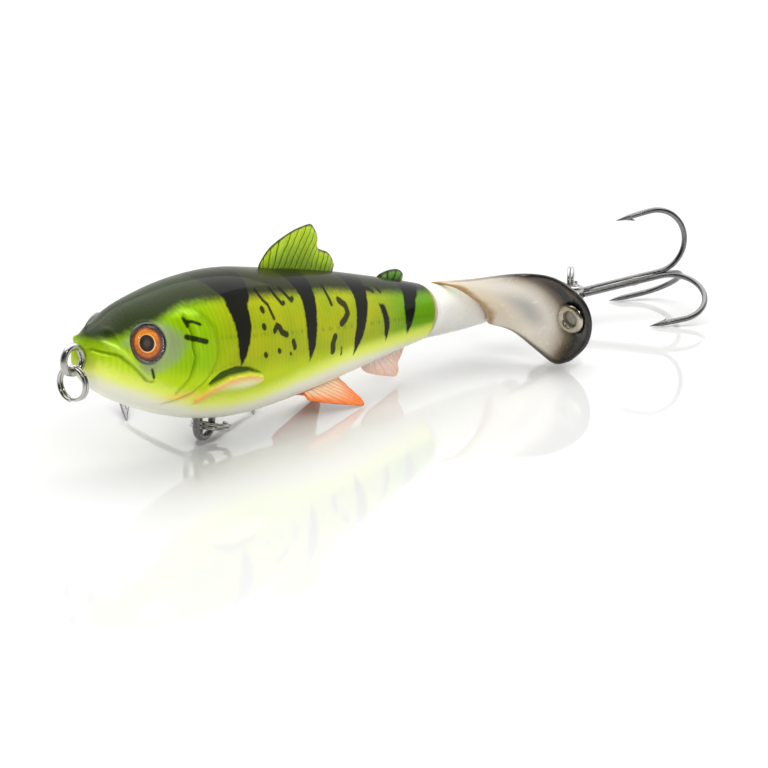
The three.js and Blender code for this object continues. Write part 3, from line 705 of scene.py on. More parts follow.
class LURE_OT_eyes(bpy.types.Operator):
    """Domed eyes: an iris, a dark rim and a clear lens on each side"""
    bl_idname = "lure.make_eyes"
    bl_label = "Eyes"
    bl_options = {"UNDO"}

    def execute(self, context):
        iris, lens, rim = iris_finish(), lens_finish(), rim_finish()
        for name, side in (("left", -1), ("right", 1)):
            look = Vector((EYE_NORMAL.x, side * EYE_NORMAL.y, EYE_NORMAL.z))
            centre = Vector((EYE_PLACE.x, side * EYE_PLACE.y, EYE_PLACE.z))
            place = axis_place(centre, look)
            dish = [(-0.18, 0), (-0.2, 0.6), (-0.24, 1.2), (-0.2, 1.3), (-0.16, 1.9), (-0.12, 2.5),
                    (-0.1, 2.7), (-0.3, 2.74), (-0.5, 2.7), (-0.5, 0)]
            piece = turned(f"{name}_iris", dish, place, 64)
            spots = np.array([v.co for v in piece.data.vertices])
            local = np.array([place.inverted() @ Vector(p) for p in spots])
            store(piece.data, "ring", np.hypot(local[:, 0], local[:, 1]))
            store(piece.data, "turn", np.arctan2(local[:, 1], local[:, 0]))
            up = (LURE.inverted().to_3x3() @ Vector((0, 0, 1))).normalized()
            in_lure_frame = np.array([LURE.inverted() @ Vector(p) - centre for p in spots])
            store(piece.data, "lift", in_lure_frame @ np.array(up))
            settle(piece, "lure_body", iris, [f"{name}_eye_iris"])
            dome = [(1.0, 0)]
            dome += [(0.15 + 0.85 * math.sin(a), 2.72 * math.cos(a))
                     for a in (math.radians(d) for d in (80, 68, 55, 42, 30, 18, 8, 0))]
            dome += [(0.0, 2.66), (-0.04, 2.4), (-0.05, 0)]
            settle(turned(f"{name}_lens", dome, place, 64), "lure_body", lens,
                   [f"{name}_eye_lens"])
            band = [(0.42, 2.86), (0.34, 3.02), (0.12, 3.1), (-0.3, 3.06), (-0.5, 2.9), (-0.3, 2.78),
                    (0.1, 2.76), (0.34, 2.78)]
            settle(turned(f"{name}_eye_rim", band, place, 64), "lure_body", rim)
        return {"FINISHED"}


# Fins

def fin_finish(name, base, tip, ray, edge, ray_width):
    """Translucent moulded fin: rays, a darker margin and a paler root."""
    made = Finish(name, Roughness=0.28, Coat_Weight=0.45, Coat_Roughness=0.08, Coat_IOR=1.35,
                  Specular_IOR_Level=0.2, Subsurface_Weight=0.2, Subsurface_Scale=0.002)
    count, reach = made.mark("ray"), made.mark("reach")
    wobble = made.noise(380, 3)
    folded = made.maths("PINGPONG", made.maths("ADD", count, made.times(wobble, 0.55)), 0.5)
    body = made.blend(made.fade(reach, 0.1, 0.9), base, tip)
    body = made.blend(made.fade(made.noise(700, 4), 0.35, 0.7, 0, 0.2), body, tuple(0.6 * c for c in base))
    fine = made.maths("PINGPONG", made.times(made.maths("ADD", count, made.times(
        wobble, 0.4)), 3.0), 0.5)
    body = made.blend(made.fade(fine, 0.05, 0.3, 0.16, 0.0), body, ray)
    body = made.blend(made.fade(folded, ray_width * 0.25, ray_width, 0.85, 0.0), body, ray)
    margin = made.maths("MINIMUM", made.mark("margin"), 10.0)
    body = made.blend(made.fade(margin, 0.15, 0.6, 0.95, 0.0), body, edge)
    made.set("Base Color", body)
    made.set("Roughness", made.fade(wobble, 0.3, 0.7, 0.2, 0.4))
    return made.bump(folded, 0.25, 0.00012).material


def sheet_piece(name, columns, rows, corner, marks, place=Matrix()):
    """A closed two-sided sheet. corner(i, j, side) gives each point and the numbers of its marks."""
    vertices, numbers, faces = [], [], []
    for side in (-1, 1):
        for i in range(columns + 1):
            for j in range(rows + 1):
                point, values = corner(i, j, side)
                vertices.append(point)
                numbers.append(values)
    count = (columns + 1) * (rows + 1)

    def at(side, i, j):
        return side * count + i * (rows + 1) + j

    for i in range(columns):
        k = i + 1
        for j in range(rows):
            faces.append((at(0, i, j), at(0, k, j), at(0, k, j + 1), at(0, i, j + 1)))
            faces.append((at(1, i, j), at(1, i, j + 1), at(1, k, j + 1), at(1, k, j)))
        faces.append((at(0, i, 0), at(1, i, 0), at(1, k, 0), at(0, k, 0)))
        faces.append((at(0, i, rows), at(0, k, rows), at(1, k, rows), at(1, i, rows)))
    for j in range(rows):
        k = j + 1
        faces.append((at(0, 0, j), at(0, 0, k), at(1, 0, k), at(1, 0, j)))
        faces.append((at(0, columns, j), at(1, columns, j), at(1, columns, k), at(0, columns, k)))
    piece = mesh_piece(name, vertices, faces)
    for mark, values in zip(marks, zip(*numbers)):
        store(piece.data, mark, values)
    clean(piece, 1e-5)
    piece.data.transform(LURE @ place)
    piece.data.shade_smooth()
    subdivide(piece, 1)
    return piece


def fin_sheet(name, root, edge, thickness, rays, columns, rows, place=Matrix()):
    """A fin between a root line and an outer edge, its rays raised a little."""
    def corner(i, j, side):
        s, t = i / columns, j / rows
        low = Vector(spline(root, s * (len(root) - 1)))
        high = Vector(spline(edge, s * (len(edge) - 1)))
        point = low.lerp(high, t)
        taper = (1 - 0.62 * t) * (0.25 + 0.75 * min(1, 8 * s, 8 * (1 - s)))
        if j == rows or i in (0, columns):
            taper *= 0.45
        bump = 1 + 0.22 * math.cos(2 * math.pi * s * rays)
        margin = min((1 - t) * (high - low).length, s * 14, (1 - s) * 14)
        return (point.x, side * thickness / 2 * taper * bump, point.y), (s * rays, t, margin)

    return sheet_piece(name, columns, rows, corner, ("ray", "reach", "margin"), place)


class LURE_OT_fins(bpy.types.Operator):
    """Dorsal, adipose, anal and pelvic fins with moulded rays"""
    bl_idname = "lure.make_fins"
    bl_label = "Fins"
    bl_options = {"UNDO"}

    def execute(self, context):
        c = colours()
        green = fin_finish("dorsal_fin_finish", (0.16, 0.28, 0.004), (0.42, 0.62, 0.010),
                           (0.03, 0.055, 0.004), (0.02, 0.035, 0.004), 0.10)
        root = [(38.7, 9.2), (43, 9.6), (48, 9.2), (53, 8.7), (57.5, 8.2)]
        edge = [(39.2, 11.0), (41.0, 12.9), (43.1, 14.2), (46.6, 15.6), (49, 16.2), (51.2, 16.5),
                (52.3, 15.8), (53.2, 14.4), (53.3, 12.7), (54.5, 12.1), (55.9, 11.7), (57.2, 10.6),
                (57.9, 9.4)]
        settle(fin_sheet("dorsal_fin_rays", root, edge, 1.15, sizes().fin_rays, 72, 10), "lure_body",
               green, ["dorsal_fin"])
        adipose = fin_finish("adipose_fin_finish", (0.02, 0.06, 0.005), (0.12, 0.33, 0.015),
                             (0.012, 0.03, 0.004), (0.01, 0.018, 0.004), 0.15)
        root = [(68.9, 6.0), (71.5, 5.6), (73.6, 5.2), (75.9, 4.8)]
        edge = [(69.2, 6.6), (70.3, 7.1), (72.5, 7.5), (74.9, 7.4), (76.2, 6.6), (76.2, 5.6)]
        settle(fin_sheet("adipose_fin_lobe", root, edge, 1.0, 5, 30, 6), "lure_body",
               adipose, ["adipose_fin"])
        pink = fin_finish("anal_fin_finish", (0.90, 0.82, 0.76), (0.90, 0.62, 0.50),
                          (0.86, 0.50, 0.38), (0.86, 0.52, 0.40), 0.12)
        root = [(66.2, -6.9), (69.5, -6.3), (73, -5.7), (77.6, -4.9)]
        edge = [(66.8, -8.5), (68.4, -9.3), (72, -10.1), (76.0, -10.7), (76.8, -9.6), (76.4, -8.5),
                (77.1, -7.5), (77.8, -6.2)]
        settle(fin_sheet("anal_fin_rays", root, edge, 0.95, 11, 60, 8), "lure_body",
               pink, ["anal_fin"])
        orange = fin_finish("pelvic_fin_finish", (0.95, 0.74, 0.50), tuple(c.fin),
                            (0.86, 0.22, 0.03), (0.88, 0.16, 0.015), 0.10)
        root = [(48.0, -9.8), (51, -9.3), (54, -8.4), (56.8, -7.4)]
        edge = [(48.5, -11.2), (53, -12.2), (58, -13.1), (61.3, -13.6), (62.0, -13.2), (61.4, -12.1),
                (59.5, -10.3), (57.6, -8.2)]
        for name, side in (("left", -1), ("right", 1)):
            turn = Matrix.Translation((0, side * 3.0, -9.6)) @ Matrix.Rotation(
                side * math.radians(28), 4, "X") @ Matrix.Translation((0, 0, 9.6))
            settle(fin_sheet(f"{name}_pelvic_fin_rays", root, edge, 0.95, 10, 56, 9, turn),
                   "lure_body", orange, [f"{name}_pelvic_fin"])
        return {"FINISHED"}


# Wire and inner pieces

class LURE_OT_wire(bpy.types.Operator):
    """The through-wire with its loops, the wrap behind the tail and the belly hanger"""
    bl_idname = "lure.make_wire"
    bl_label = "Wire"
    bl_options = {"UNDO"}

    def execute(self, context):
        steel = metal_finish("stainless_wire_finish", colours().steel, 0.2)
        nickel = metal_finish("dark_wire_finish", colours().nickel, 0.22)
        front = [(NOSE_LOOP_X + LOOP_RADIUS * math.cos(a), 0, LOOP_RADIUS * math.sin(a))
                 for a in np.linspace(0.16, 2 * math.pi - 0.16, 44)]
        rear = [(REAR_LOOP_X - LOOP_RADIUS * math.cos(a), LOOP_RADIUS * math.sin(a), 0)
                for a in np.linspace(0.0, 2 * math.pi - 0.3, 44)]
        path = [(4.5, 0, 0.25), (2.6, 0, 0.28), (1.1, 0, 0.32)] + front + [
            (1.1, 0, -0.4), (2.6, 0, -0.2), (8, 0, 0)]
        path += [(x, 0, 0) for x in (20, 40, 60, 80, 100, 110, 118, 122.9)] + rear
        self.bent("through_wire_run", path, "stainless_wire", steel,
                  ["through_wire", "tow_loop", "hook_loop"])
        coil = []
        for t in np.linspace(0, 1, 181):
            angle = 10 * math.pi * t
            coil.append((118.9 + (t - 0.5) * 7.0, 1.35 * math.sin(angle), 1.35 * math.cos(angle)))
        self.bent("wire_wrap", coil, "stainless_wire", steel, ["rear_wire_wrap"])
        bow = [(HANGER_X + HANGER_RADIUS * math.cos(a), 0, -HANGER_DROP + HANGER_RADIUS * math.sin(a))
               for a in np.linspace(math.pi, 2 * math.pi, 21)]
        path = [(HANGER_X - HANGER_RADIUS, 0, z) for z in (-7, -9, -11)] + bow
        path += [(HANGER_X + HANGER_RADIUS, 0, z) for z in (-11, -9, -7)]
        self.bent("belly_hanger_bow", path, "dark_wire", nickel, ["belly_hanger"])
        return {"FINISHED"}

    def bent(self, name, path, slot, finish, replaced):
        """A length of the wire through points in the lure's millimetres."""
        strand = [LURE @ Vector(point) for point in path]
        settle(wire(name, [(strand, None)], WIRE / 2 * MM, turns=6), "lure_body", finish, replaced)


def brass_finish():
    made = Finish("washer_brass_finish", Metallic=1.0)
    cut = made.noise(3000, 4)
    made.set("Base Color", made.blend(made.fade(cut, 0.3, 0.7), (0.62, 0.42, 0.16), (0.42, 0.27, 0.09)))
    made.set("Roughness", made.fade(cut, 0.3, 0.7, 0.18, 0.38))
    return made.bump(cut, 0.15, 0.00005).material


class LURE_OT_inner(bpy.types.Operator):
    """Washers, bead and bushing on the wire, and the weights inside the shells"""
    bl_idname = "lure.make_inner"
    bl_label = "Inner pieces"
    bl_options = {"UNDO"}

    def execute(self, context):
        brass = brass_finish()
        steel = metal_finish("bead_steel_finish", colours().steel, 0.14)
        settle(turned("rear_washer_disc", [(104.9, 0.85), (105.5, 0.85), (105.5, 2.1), (104.9, 2.1)],
                      ALONG_WIRE, 48, 0.1), "lure_body", brass, ["rear_washer"])
        bead = [(105.8, 0.85), (109.8, 0.85), (109.8, 1.15), (109.5, 1.55), (108.9, 1.95), (108.2, 2.15),
                (107.4, 2.15), (106.7, 1.95), (106.1, 1.55), (105.8, 1.15)]
        settle(turned("rear_bead_ball", bead, ALONG_WIRE, 48), "lure_body", steel,
               ["rear_bead"])
        slug = metal_finish("ballast_steel_finish", (0.36, 0.37, 0.39), 0.34, 500, 0.5)
        ball = metal_finish("rattle_steel_finish", (0.66, 0.66, 0.67), 0.1, 700, 0.15)
        for node, finish in (("front_washer", brass), ("tail_bushing", brass), ("belly_ballast", slug),
                             ("rattle_ball", ball)):
            materials = FRAME["nodes"][node].data.materials
            materials.clear()
            materials.append(finish)
        return {"FINISHED"}


# Tail

ROOT_EDGE = [(82.6, -0.6, 4.7), (86, -3.4, 3.9), (90, -4.5, 1.8), (94, -4.3, -0.6), (97, -2.9, -3.2)]
TOP_EDGE = [(82.6, -0.6, 4.7), (88, -5, 5.4), (95.3, -9.5, 6.4), (98.8, -14, 6.2), (100.6, -18, 4.2)]
BOTTOM_EDGE = [(97, -2.9, -3.2), (99.2, -6.5, -4.2), (100.8, -11, -7.2), (101.6, -14.2, -9.0),
               (101.8, -17.2, -8.1)]
TIP_EDGE = [(100.6, -18, 4.2), (101.4, -20.2, 1.6), (102, -20.9, -1.5), (102.2, -20, -5),
            (101.8, -17.2, -8.1)]
CUP = 3.2


def paddle_point(u, v):
    """A point of the paddle's middle surface, from its root to its tip and from top to bottom."""
    root, tip = Vector(spline(ROOT_EDGE, 4 * v)), Vector(spline(TIP_EDGE, 4 * v))
    top, bottom = Vector(spline(TOP_EDGE, 4 * u)), Vector(spline(BOTTOM_EDGE, 4 * u))
    near = Vector(ROOT_EDGE[0]).lerp(Vector(TIP_EDGE[0]), u)
    far = Vector(ROOT_EDGE[-1]).lerp(Vector(TIP_EDGE[-1]), u)
    point = root.lerp(tip, u) + top.lerp(bottom, v) - near.lerp(far, v)
    point.x += CUP * math.sin(math.pi * u) * math.sin(math.pi * v)
    return point


def hub_finish():
    made = Finish("tail_hub_finish", Coat_Weight=0.6, Coat_Roughness=0.12, Subsurface_Weight=0.4,
                  Subsurface_Scale=0.004)
    cloud = made.noise(160, 4)
    fine = made.noise(1300, 3)
    green = made.fade(made.mark("lift"), 1.5, 5.0, 0.0, 0.55)
    body = made.blend(cloud, (0.66, 0.66, 0.61), (0.80, 0.79, 0.73))
    body = made.blend(green, body, (0.52, 0.68, 0.42))
    body = made.blend(made.fade(fine, 0.55, 0.75, 0, 0.25), body, (0.70, 0.70, 0.66))
    made.set("Base Color", body)
    made.set("Roughness", made.fade(fine, 0.3, 0.7, 0.26, 0.42))
    return made.bump(cloud, 0.1, 0.0001).material


def blade_finish():
    """Smoked plastic: champagne near the cone, a painted silver reflection across the bend and a black
    end.
    """
    made = Finish("tail_blade_finish", Coat_Weight=0.6, Coat_Roughness=0.12)
    u, v, margin = made.mark("out"), made.mark("down"), made.mark("margin")
    swirl = made.noise(90, 1.5)
    fine = made.noise(900, 3)
    torn = made.noise(330, 2)
    shift = made.sway(swirl, 0.05)
    run = made.maths("ADD", made.maths("SUBTRACT", u, made.times(v, 0.20)), shift)
    body = made.ramp(run, [
        (0.0, (0.80, 0.68, 0.50)), (0.16, (0.84, 0.76, 0.64)), (0.32, (0.72, 0.67, 0.59)),
        (0.41, (0.50, 0.43, 0.35)), (0.51, (0.16, 0.115, 0.08)), (0.63, (0.010, 0.008, 0.007)),
    ])
    lobe = made.times(made.fade(v, 0.55, 0.95), made.fade(u, 0.35, 0.75, 1, 0))
    body = made.blend(made.times(lobe, 0.8), body, (0.80, 0.72, 0.61))
    # Painted reflection: a grey silver streak across the paddle's bend, where its sheen would be.
    off_run = made.maths("ABSOLUTE", made.maths("SUBTRACT", run, 0.20))
    off_down = made.maths("ABSOLUTE", made.maths("SUBTRACT", v, 0.58))
    streak = made.times(made.fade(off_run, 0.0, 0.15, 1, 0), made.fade(off_down, 0.05, 0.32, 1, 0))
    body = made.blend(made.times(streak, 0.65), body, (0.33, 0.34, 0.34))
    top = made.times(made.fade(v, 0.0, 0.2, 1, 0), made.fade(u, 0.35, 0.65))
    body = made.blend(made.times(top, 0.85), body, (0.06, 0.04, 0.028))
    body = made.blend(made.fade(margin, 0.15, 0.7, 0.85, 0.0), body,
                      made.blend(made.fade(u, 0.1, 0.5), (0.30, 0.23, 0.15), (0.012, 0.01, 0.009)))
    frayed = made.maths("ADD", u, made.sway(torn, 0.10))
    body = made.blend(made.fade(frayed, 0.03, 0.095, 0.95, 0), body, (0.42, 0.23, 0.045))
    body = made.blend(made.fade(fine, 0.6, 0.85, 0, 0.05), body, (0.16, 0.13, 0.10))
    made.set("Base Color", body)
    made.set("Metallic", made.times(made.fade(u, 0.15, 0.45), 0.12))
    made.set("Roughness", made.fade(fine, 0.3, 0.7, 0.22, 0.28))
    return made.material


class LURE_OT_tail(bpy.types.Operator):
    """The turning cone, its cupped paddle and the paddle's eyelet"""
    bl_idname = "lure.make_tail"
    bl_label = "Tail"
    bl_options = {"UNDO"}

    def execute(self, context):
        hub = hub_finish()
        cone = [(80.62, 2.5), (81.4, 2.5), (81.4, 1.8), (99.98, 1.8), (99.98, 3.2), (99.7, 3.55),
                (99.2, 3.72), (97, 3.95), (94, 4.2), (91, 4.42), (88, 4.6), (84.5, 4.72), (81.5, 4.8),
                (80.95, 4.72), (80.62, 4.5)]
        piece = turned("tail_cone", cone, ALONG_WIRE, 64)
        local = np.array([LURE.inverted() @ v.co for v in piece.data.vertices])
        store(piece.data, "lift", local[:, 2])
        settle(piece, "tail", hub, ["tail_hub"])
        boss = [(100.3, 1.8), (104.3, 1.8), (104.3, 2.6), (103.9, 3.0), (100.6, 3.1), (100.3, 2.9)]
        piece = turned("tail_boss", boss, ALONG_WIRE, 48)
        store(piece.data, "lift", np.zeros(len(piece.data.vertices)))
        settle(piece, "tail", hub)
        self.paddle()
        self.eyelet()
        return {"FINISHED"}

    def paddle(self):
        columns, rows = 22, 16

        def corner(i, j, side):
            u, v = i / columns, j / rows
            u0, v0 = min(max(u, 0.002), 0.998), min(max(v, 0.002), 0.998)
            along = paddle_point(u0 + 0.001, v0) - paddle_point(u0 - 0.001, v0)
            across = paddle_point(u0, v0 + 0.001) - paddle_point(u0, v0 - 0.001)
            half = 0.52 if 0 < i < columns and 0 < j < rows else 0.26
            point = paddle_point(u, v) + along.cross(across).normalized() * half * side
            return point, (u, v, min(u * 18, (1 - u) * 18, v * 11, (1 - v) * 11))

        piece = sheet_piece("tail_paddle", columns, rows, corner, ("out", "down", "margin"))
        settle(piece, "tail", blade_finish(), ["tail_blade"])

    def eyelet(self):
        u, v = 0.71, 0.5
        along = paddle_point(u + 0.01, v) - paddle_point(u, v)
        across = paddle_point(u, v + 0.01) - paddle_point(u, v)
        normal = along.cross(across).normalized()
        if normal.x > 0:
            normal.negate()
        place = axis_place(paddle_point(u, v), normal)
        nickel = metal_finish("eyelet_nickel_finish", (0.60, 0.54, 0.45), 0.22)
        rim = [(-1.6, 1.3), (1.2, 1.3), (1.55, 1.42), (1.75, 1.65), (1.78, 1.95), (1.68, 2.25),
               (1.5, 2.5), (1.32, 2.6), (1.2, 2.5), (1.2, 1.7), (-1.6, 1.7)]
        settle(turned("paddle_eyelet", rim, place, 56), "tail", nickel, ["tail_eyelet"])
        web = Finish("eyelet_web_finish", Coat_Weight=0.4)
        cloud = web.noise(1500, 3)
        web.set("Base Color", web.blend(cloud, (0.34, 0.31, 0.27), (0.50, 0.46, 0.40)))
        web.set("Roughness", web.fade(cloud, 0.3, 0.7, 0.35, 0.55))
        disc = [(0.9, 0), (0.88, 0.6), (0.8, 1.0), (0.7, 1.26), (0.3, 1.26), (0.3, 0)]
        settle(turned("eyelet_web", disc, place, 40), "tail", web.material)


# Split rings and hooks

RING_WIRE = 0.55
RING_TURNS = 1.94
NOSE_RING_RADIUS = 2.45
HUNG_RING_RADIUS = 2.95
HOOK_WIRE = 1.0
HOOK_EYE_RADIUS = 1.8
TIP_RADIUS = 12.0
TIP_BACK = 10.4
SHANK_END = 17.0


def ring_strand(radius, place):
    """The path of a split ring: two turns lying against each other."""
    points = []
    for t in np.linspace(0, 1, 97):
        angle = 2 * math.pi * RING_TURNS * t
        rise = (RING_WIRE + 0.06) * RING_TURNS * (t - 0.5)
        points.append(place @ Vector((radius * math.cos(angle), radius * math.sin(angle), rise)))
    return points


def hung_place(joint, way, side):
    """Where a split ring that carries a hook sits on its wire loop, and how it is turned."""
    centre = Vector(JOINTS[joint]["pos_m"]) + HUNG_RING_RADIUS * MM * way
    basis = Matrix((way, side, way.cross(side))).transposed().to_4x4()
    return Matrix.Translation(centre) @ basis @ Matrix.Scale(MM, 4)


class LURE_OT_rings(bpy.types.Operator):
    """Three split rings of flat-lying double turns"""
    bl_idname = "lure.make_rings"
    bl_label = "Split rings"
    bl_options = {"UNDO"}

    def execute(self, context):
        steel = metal_finish("ring_steel_finish", (0.55, 0.54, 0.52), 0.16)
        pivot = Vector(JOINTS["nose_ring_swing"]["pos_m"])
        hang = (NOSE_RING_RADIUS - WIRE / 2 - RING_WIRE / 2 - 0.1) * MM
        place = Matrix.Translation(pivot - Vector((0, 0, hang))) @ Matrix.Rotation(
            math.pi / 2, 4, "Y") @ Matrix.Scale(MM, 4)
        self.ring("nose", NOSE_RING_RADIUS, place, steel)
        yaw, drop = math.radians(20), math.radians(15)
        way = Vector((math.cos(yaw) * math.cos(drop), math.sin(yaw), -math.cos(yaw) * math.sin(drop)))
        side = Vector((math.sin(drop), 0, math.cos(drop))).cross(way)
        place = hung_place("belly_ring_swing", way, side)
        self.ring("belly", HUNG_RING_RADIUS, place, steel)
        yaw = math.radians(30)
        way = Vector((math.cos(yaw), math.sin(yaw), 0))
        place = hung_place("rear_ring_swing", way, Vector((0, 0, -1)))
        self.ring("rear", HUNG_RING_RADIUS, place, steel)
        return {"FINISHED"}

    def ring(self, where, radius, place, finish):
        coil = wire(f"{where}_ring_coil", [(ring_strand(radius, place), None)], RING_WIRE / 2 * MM)
        settle(coil, f"{where}_ring", finish, [f"{where}_split_ring"])


def hook_profile():
    """One hook of a treble, as points and wire thickness: shank, bend, throat and point."""
    bend = (TIP_RADIUS - HOOK_WIRE / 2) / 2
    middle = HOOK_WIRE / 2 + bend
    points = [(2.1, 0.5), (4, 0.5), (7, 0.5), (10, 0.5), (13.5, 0.5)]
    points += [(SHANK_END + bend * math.sin(a), middle - bend * math.cos(a))
               for a in np.linspace(0, math.pi, 26)]
    points += [(15.4, TIP_RADIUS - 0.06), (13.6, TIP_RADIUS - 0.16), (12.4, TIP_RADIUS - 0.24),
               (11.6, TIP_RADIUS - 0.28), (11.0, TIP_RADIUS - 0.3), (10.5, TIP_RADIUS - 0.3),
               (TIP_BACK - 0.2, TIP_RADIUS - 0.3)]
    widths = [1.0] * (len(points) - 6) + [0.98, 0.85, 0.62, 0.42, 0.2, 0.05]
    return points, widths


class LURE_OT_trebles(bpy.types.Operator):
    """Two treble hooks: brazed shanks, open bends, barbs and tapered points"""
    bl_idname = "lure.make_trebles"
    bl_label = "Treble hooks"
    bl_options = {"UNDO"}

    def execute(self, context):
        nickel = metal_finish("hook_nickel_finish", colours().nickel, 0.2, 700)
        solder = metal_finish("hook_braze_finish", (0.46, 0.45, 0.43), 0.28, 600)
        for name, rise in (("belly", 17.8), ("rear", 9.4)):
            joint = JOINTS[f"{name}_treble_swing"]
            hole = Vector(joint["axis"]).normalized()
            flat = Vector((hole.y, -hole.x, 0)).normalized()
            lift = math.radians(rise)
            shank = flat * math.cos(lift) + Vector((0, 0, math.sin(lift)))
            basis = Matrix((shank, hole, shank.cross(hole).normalized())).transposed().to_4x4()
            place = Matrix.Translation(Vector(joint["pos_m"])) @ basis @ Matrix.Scale(MM, 4)
            settle(wire(f"{name}_treble_wire", self.strands(place), HOOK_WIRE / 2 * MM),
                   f"{name}_treble", nickel, [f"{name}_treble_hook"])
            seams = []
            for turn in (60, 180, 300):
                spin = place @ Matrix.Rotation(math.radians(turn), 4, "X")
                line = [(3.2, 0, 0.5), (4.2, 0, 0.66), (8, 0, 0.66), (11.4, 0, 0.66), (11.8, 0, 0.72),
                        (12.4, 0, 0.72), (12.8, 0, 0.66), (15.2, 0, 0.64), (16.4, 0, 0.4)]
                seams.append(([spin @ Vector(p) for p in line],
                              [0.4, 0.9, 1.0, 1.0, 1.25, 1.25, 1.0, 0.8, 0.3]))
            settle(wire(f"{name}_treble_braze", seams, 0.24 * MM, turns=3), f"{name}_treble",
                   solder)
        return {"FINISHED"}

    def strands(self, place):
        """The three hooks with their barbs, the eye and the core between the shanks."""
        made = []
        points, widths = hook_profile()
        for turn in (0, 120, 240):
            spin = place @ Matrix.Rotation(math.radians(turn), 4, "X")
            made.append(([spin @ Vector((x, 0, r)) for x, r in points], widths))
            barb = [(12.0, TIP_RADIUS - 0.3), (12.8, TIP_RADIUS - 0.62), (13.5, TIP_RADIUS - 0.95),
                    (13.9, TIP_RADIUS - 1.15)]
            made.append(([spin @ Vector((x, 0, r)) for x, r in barb], [0.7, 0.5, 0.26, 0.04]))
        eye = [(HOOK_EYE_RADIUS * math.cos(a), 0, HOOK_EYE_RADIUS * math.sin(a))
               for a in np.linspace(0.12, 2 * math.pi - 0.12, 40)]
        eye = [(3.4, 0, 0.1)] + eye + [(3.4, 0, -0.1)]
        made.append(([place @ Vector(p) for p in eye], [1.0] * len(eye)))
        core = [(x, 0, 0) for x in (3.0, 3.8, 6, 10, 14, 17, 18)]
        made.append(([place @ Vector(p) for p in core], [0.7, 1.0, 1.05, 1.05, 1.05, 0.95, 0.4]))
        return made


# Stage

AIM_SHIFT = Vector((-0.0029, -0.0027, 0))
AIM_RISE = 0.0005
HEADING, LIFT = math.radians(218.1), math.radians(15.1)
DISTANCE, LENS = 0.495, 140.6
# Name, metres up, back and aside of the aim, width, depth, watts, and whether it shows in reflections.
LIGHTS = (
    ("overhead", 0.9, -0.25, 0, 1.5, 1.3, 10.0, True), ("wash", 1.1, 0, 0, 2.6, 2.6, 17.0, False),
    ("front", 0.35, 0.9, -0.35, 0.6, 0.5, 6.5, False), ("glint", 0.42, 0.55, -0.30, 0.09, 0.13, 0.5, True),
)
# How much the world dims from behind the lure, at the first slope, to the camera's side, at the second.
WORLD_FADE = {1: -0.2, 2: 0.3, 3: 1.0, 4: 0.05}


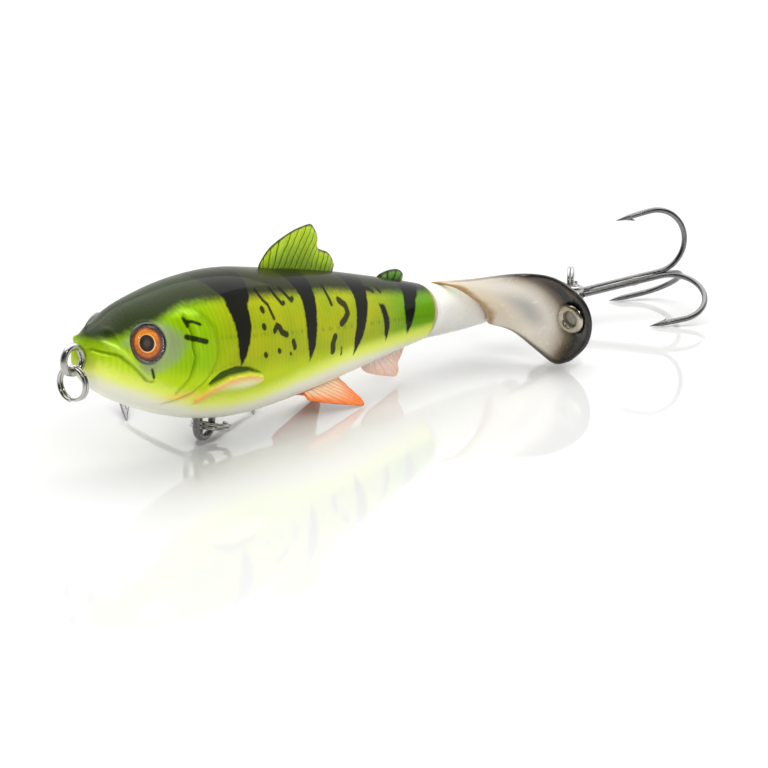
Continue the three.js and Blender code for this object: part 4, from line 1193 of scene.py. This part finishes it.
class LURE_OT_stage(bpy.types.Operator):
    """Camera, soft lights and a pale glossy floor"""
    bl_idname = "lure.make_stage"
    bl_label = "Stage"
    bl_options = {"UNDO"}

    def execute(self, context):
        low, high = (Vector(corner) for corner in CAD_BOX)
        aim = (low + high) / 2 + AIM_SHIFT
        aim.z = low.z + AIM_RISE
        back = Vector((math.cos(HEADING) * math.cos(LIFT), math.sin(HEADING) * math.cos(LIFT),
                       math.sin(LIFT)))
        lens = bpy.data.cameras.new("camera")
        lens.lens = LENS
        lens.clip_start, lens.clip_end = 0.01, 100
        camera = bpy.data.objects.new("camera", lens)
        camera.location = aim + back * DISTANCE
        camera.rotation_euler = back.to_track_quat("Z", "Y").to_euler()
        context.scene.collection.objects.link(camera)
        context.scene.camera = camera
        rise = Vector((0, 0, 1))
        side = back.cross(rise).normalized()
        for name, up, behind, aside, *lamp in LIGHTS:
            self.light(context, name, aim + rise * up + back * behind + side * aside, aim, *lamp)
        world = bpy.data.worlds.new("studio")
        world.use_nodes = True
        tree = world.node_tree
        towards = tree.nodes.new("ShaderNodeVectorMath")
        towards.operation = "DOT_PRODUCT"
        towards.inputs[1].default_value = back
        tree.links.new(tree.nodes.new("ShaderNodeTexCoord").outputs["Generated"], towards.inputs[0])
        dim = tree.nodes.new("ShaderNodeMapRange")
        dim.interpolation_type = "SMOOTHSTEP"
        for number, value in WORLD_FADE.items():
            dim.inputs[number].default_value = value
        tree.links.new(towards.outputs["Value"], dim.inputs[0])
        tree.links.new(dim.outputs[0], tree.nodes["Background"].inputs["Strength"])
        tree.nodes["Background"].inputs["Color"].default_value = (1, 1, 1, 1)
        context.scene.world = world
        context.scene.view_settings.view_transform = "Standard"
        reach = sizes().floor
        floor = mesh_piece("floor", [(-reach, -reach, 0), (reach, -reach, 0), (reach, reach, 0),
                                     (-reach, reach, 0)], [(0, 1, 2, 3)])
        made = Finish("floor_finish", Roughness=0.05)
        made.set("Base Color", (0.59, 0.59, 0.585))
        floor.data.materials.append(made.material)
        return {"FINISHED"}

    def light(self, context, name, place, aim, width, depth, power, mirrored):
        lamp = bpy.data.lights.new(name, "AREA")
        lamp.shape = "RECTANGLE"
        lamp.size, lamp.size_y = width, depth
        lamp.energy = power
        made = bpy.data.objects.new(name, lamp)
        made.visible_glossy = mirrored
        made.location = place
        made.rotation_euler = (place - aim).to_track_quat("Z", "Y").to_euler()
        context.scene.collection.objects.link(made)


class LURE_PT_panel(bpy.types.Panel):
    """The lure's operators, colours and sizes"""
    bl_idname = "LURE_PT_panel"
    bl_label = "Spinning-tail lure"
    bl_space_type = "VIEW_3D"
    bl_region_type = "UI"
    bl_category = "Lure"

    def draw(self, context):
        column = self.layout.column()
        for operator in OPERATORS:
            column.operator(operator.bl_idname)
        for group in (colours(), sizes()):
            for name in group.bl_rna.properties.keys():
                if name not in ("rna_type", "name"):
                    column.prop(group, name)


SHARED = {}
OPERATORS = (LURE_OT_stage, LURE_OT_body, LURE_OT_eyes, LURE_OT_fins, LURE_OT_wire, LURE_OT_inner,
             LURE_OT_tail, LURE_OT_rings, LURE_OT_trebles)
CLASSES = (LureColours, LureSizes, *OPERATORS, LURE_PT_panel)


def register():
    for cls in CLASSES:
        bpy.utils.register_class(cls)
    bpy.types.Scene.lure_colours = bpy.props.PointerProperty(type=LureColours)
    bpy.types.Scene.lure_sizes = bpy.props.PointerProperty(type=LureSizes)


def unregister():
    del bpy.types.Scene.lure_sizes
    del bpy.types.Scene.lure_colours
    for cls in reversed(CLASSES):
        bpy.utils.unregister_class(cls)


def main():
    register()
    SHARED["shell"] = shell_finish()
    for operator in OPERATORS:
        getattr(bpy.ops.lure, operator.bl_idname.split(".")[1])()
    bpy.context.view_layer.update()


if __name__ == "__main__":
    main()
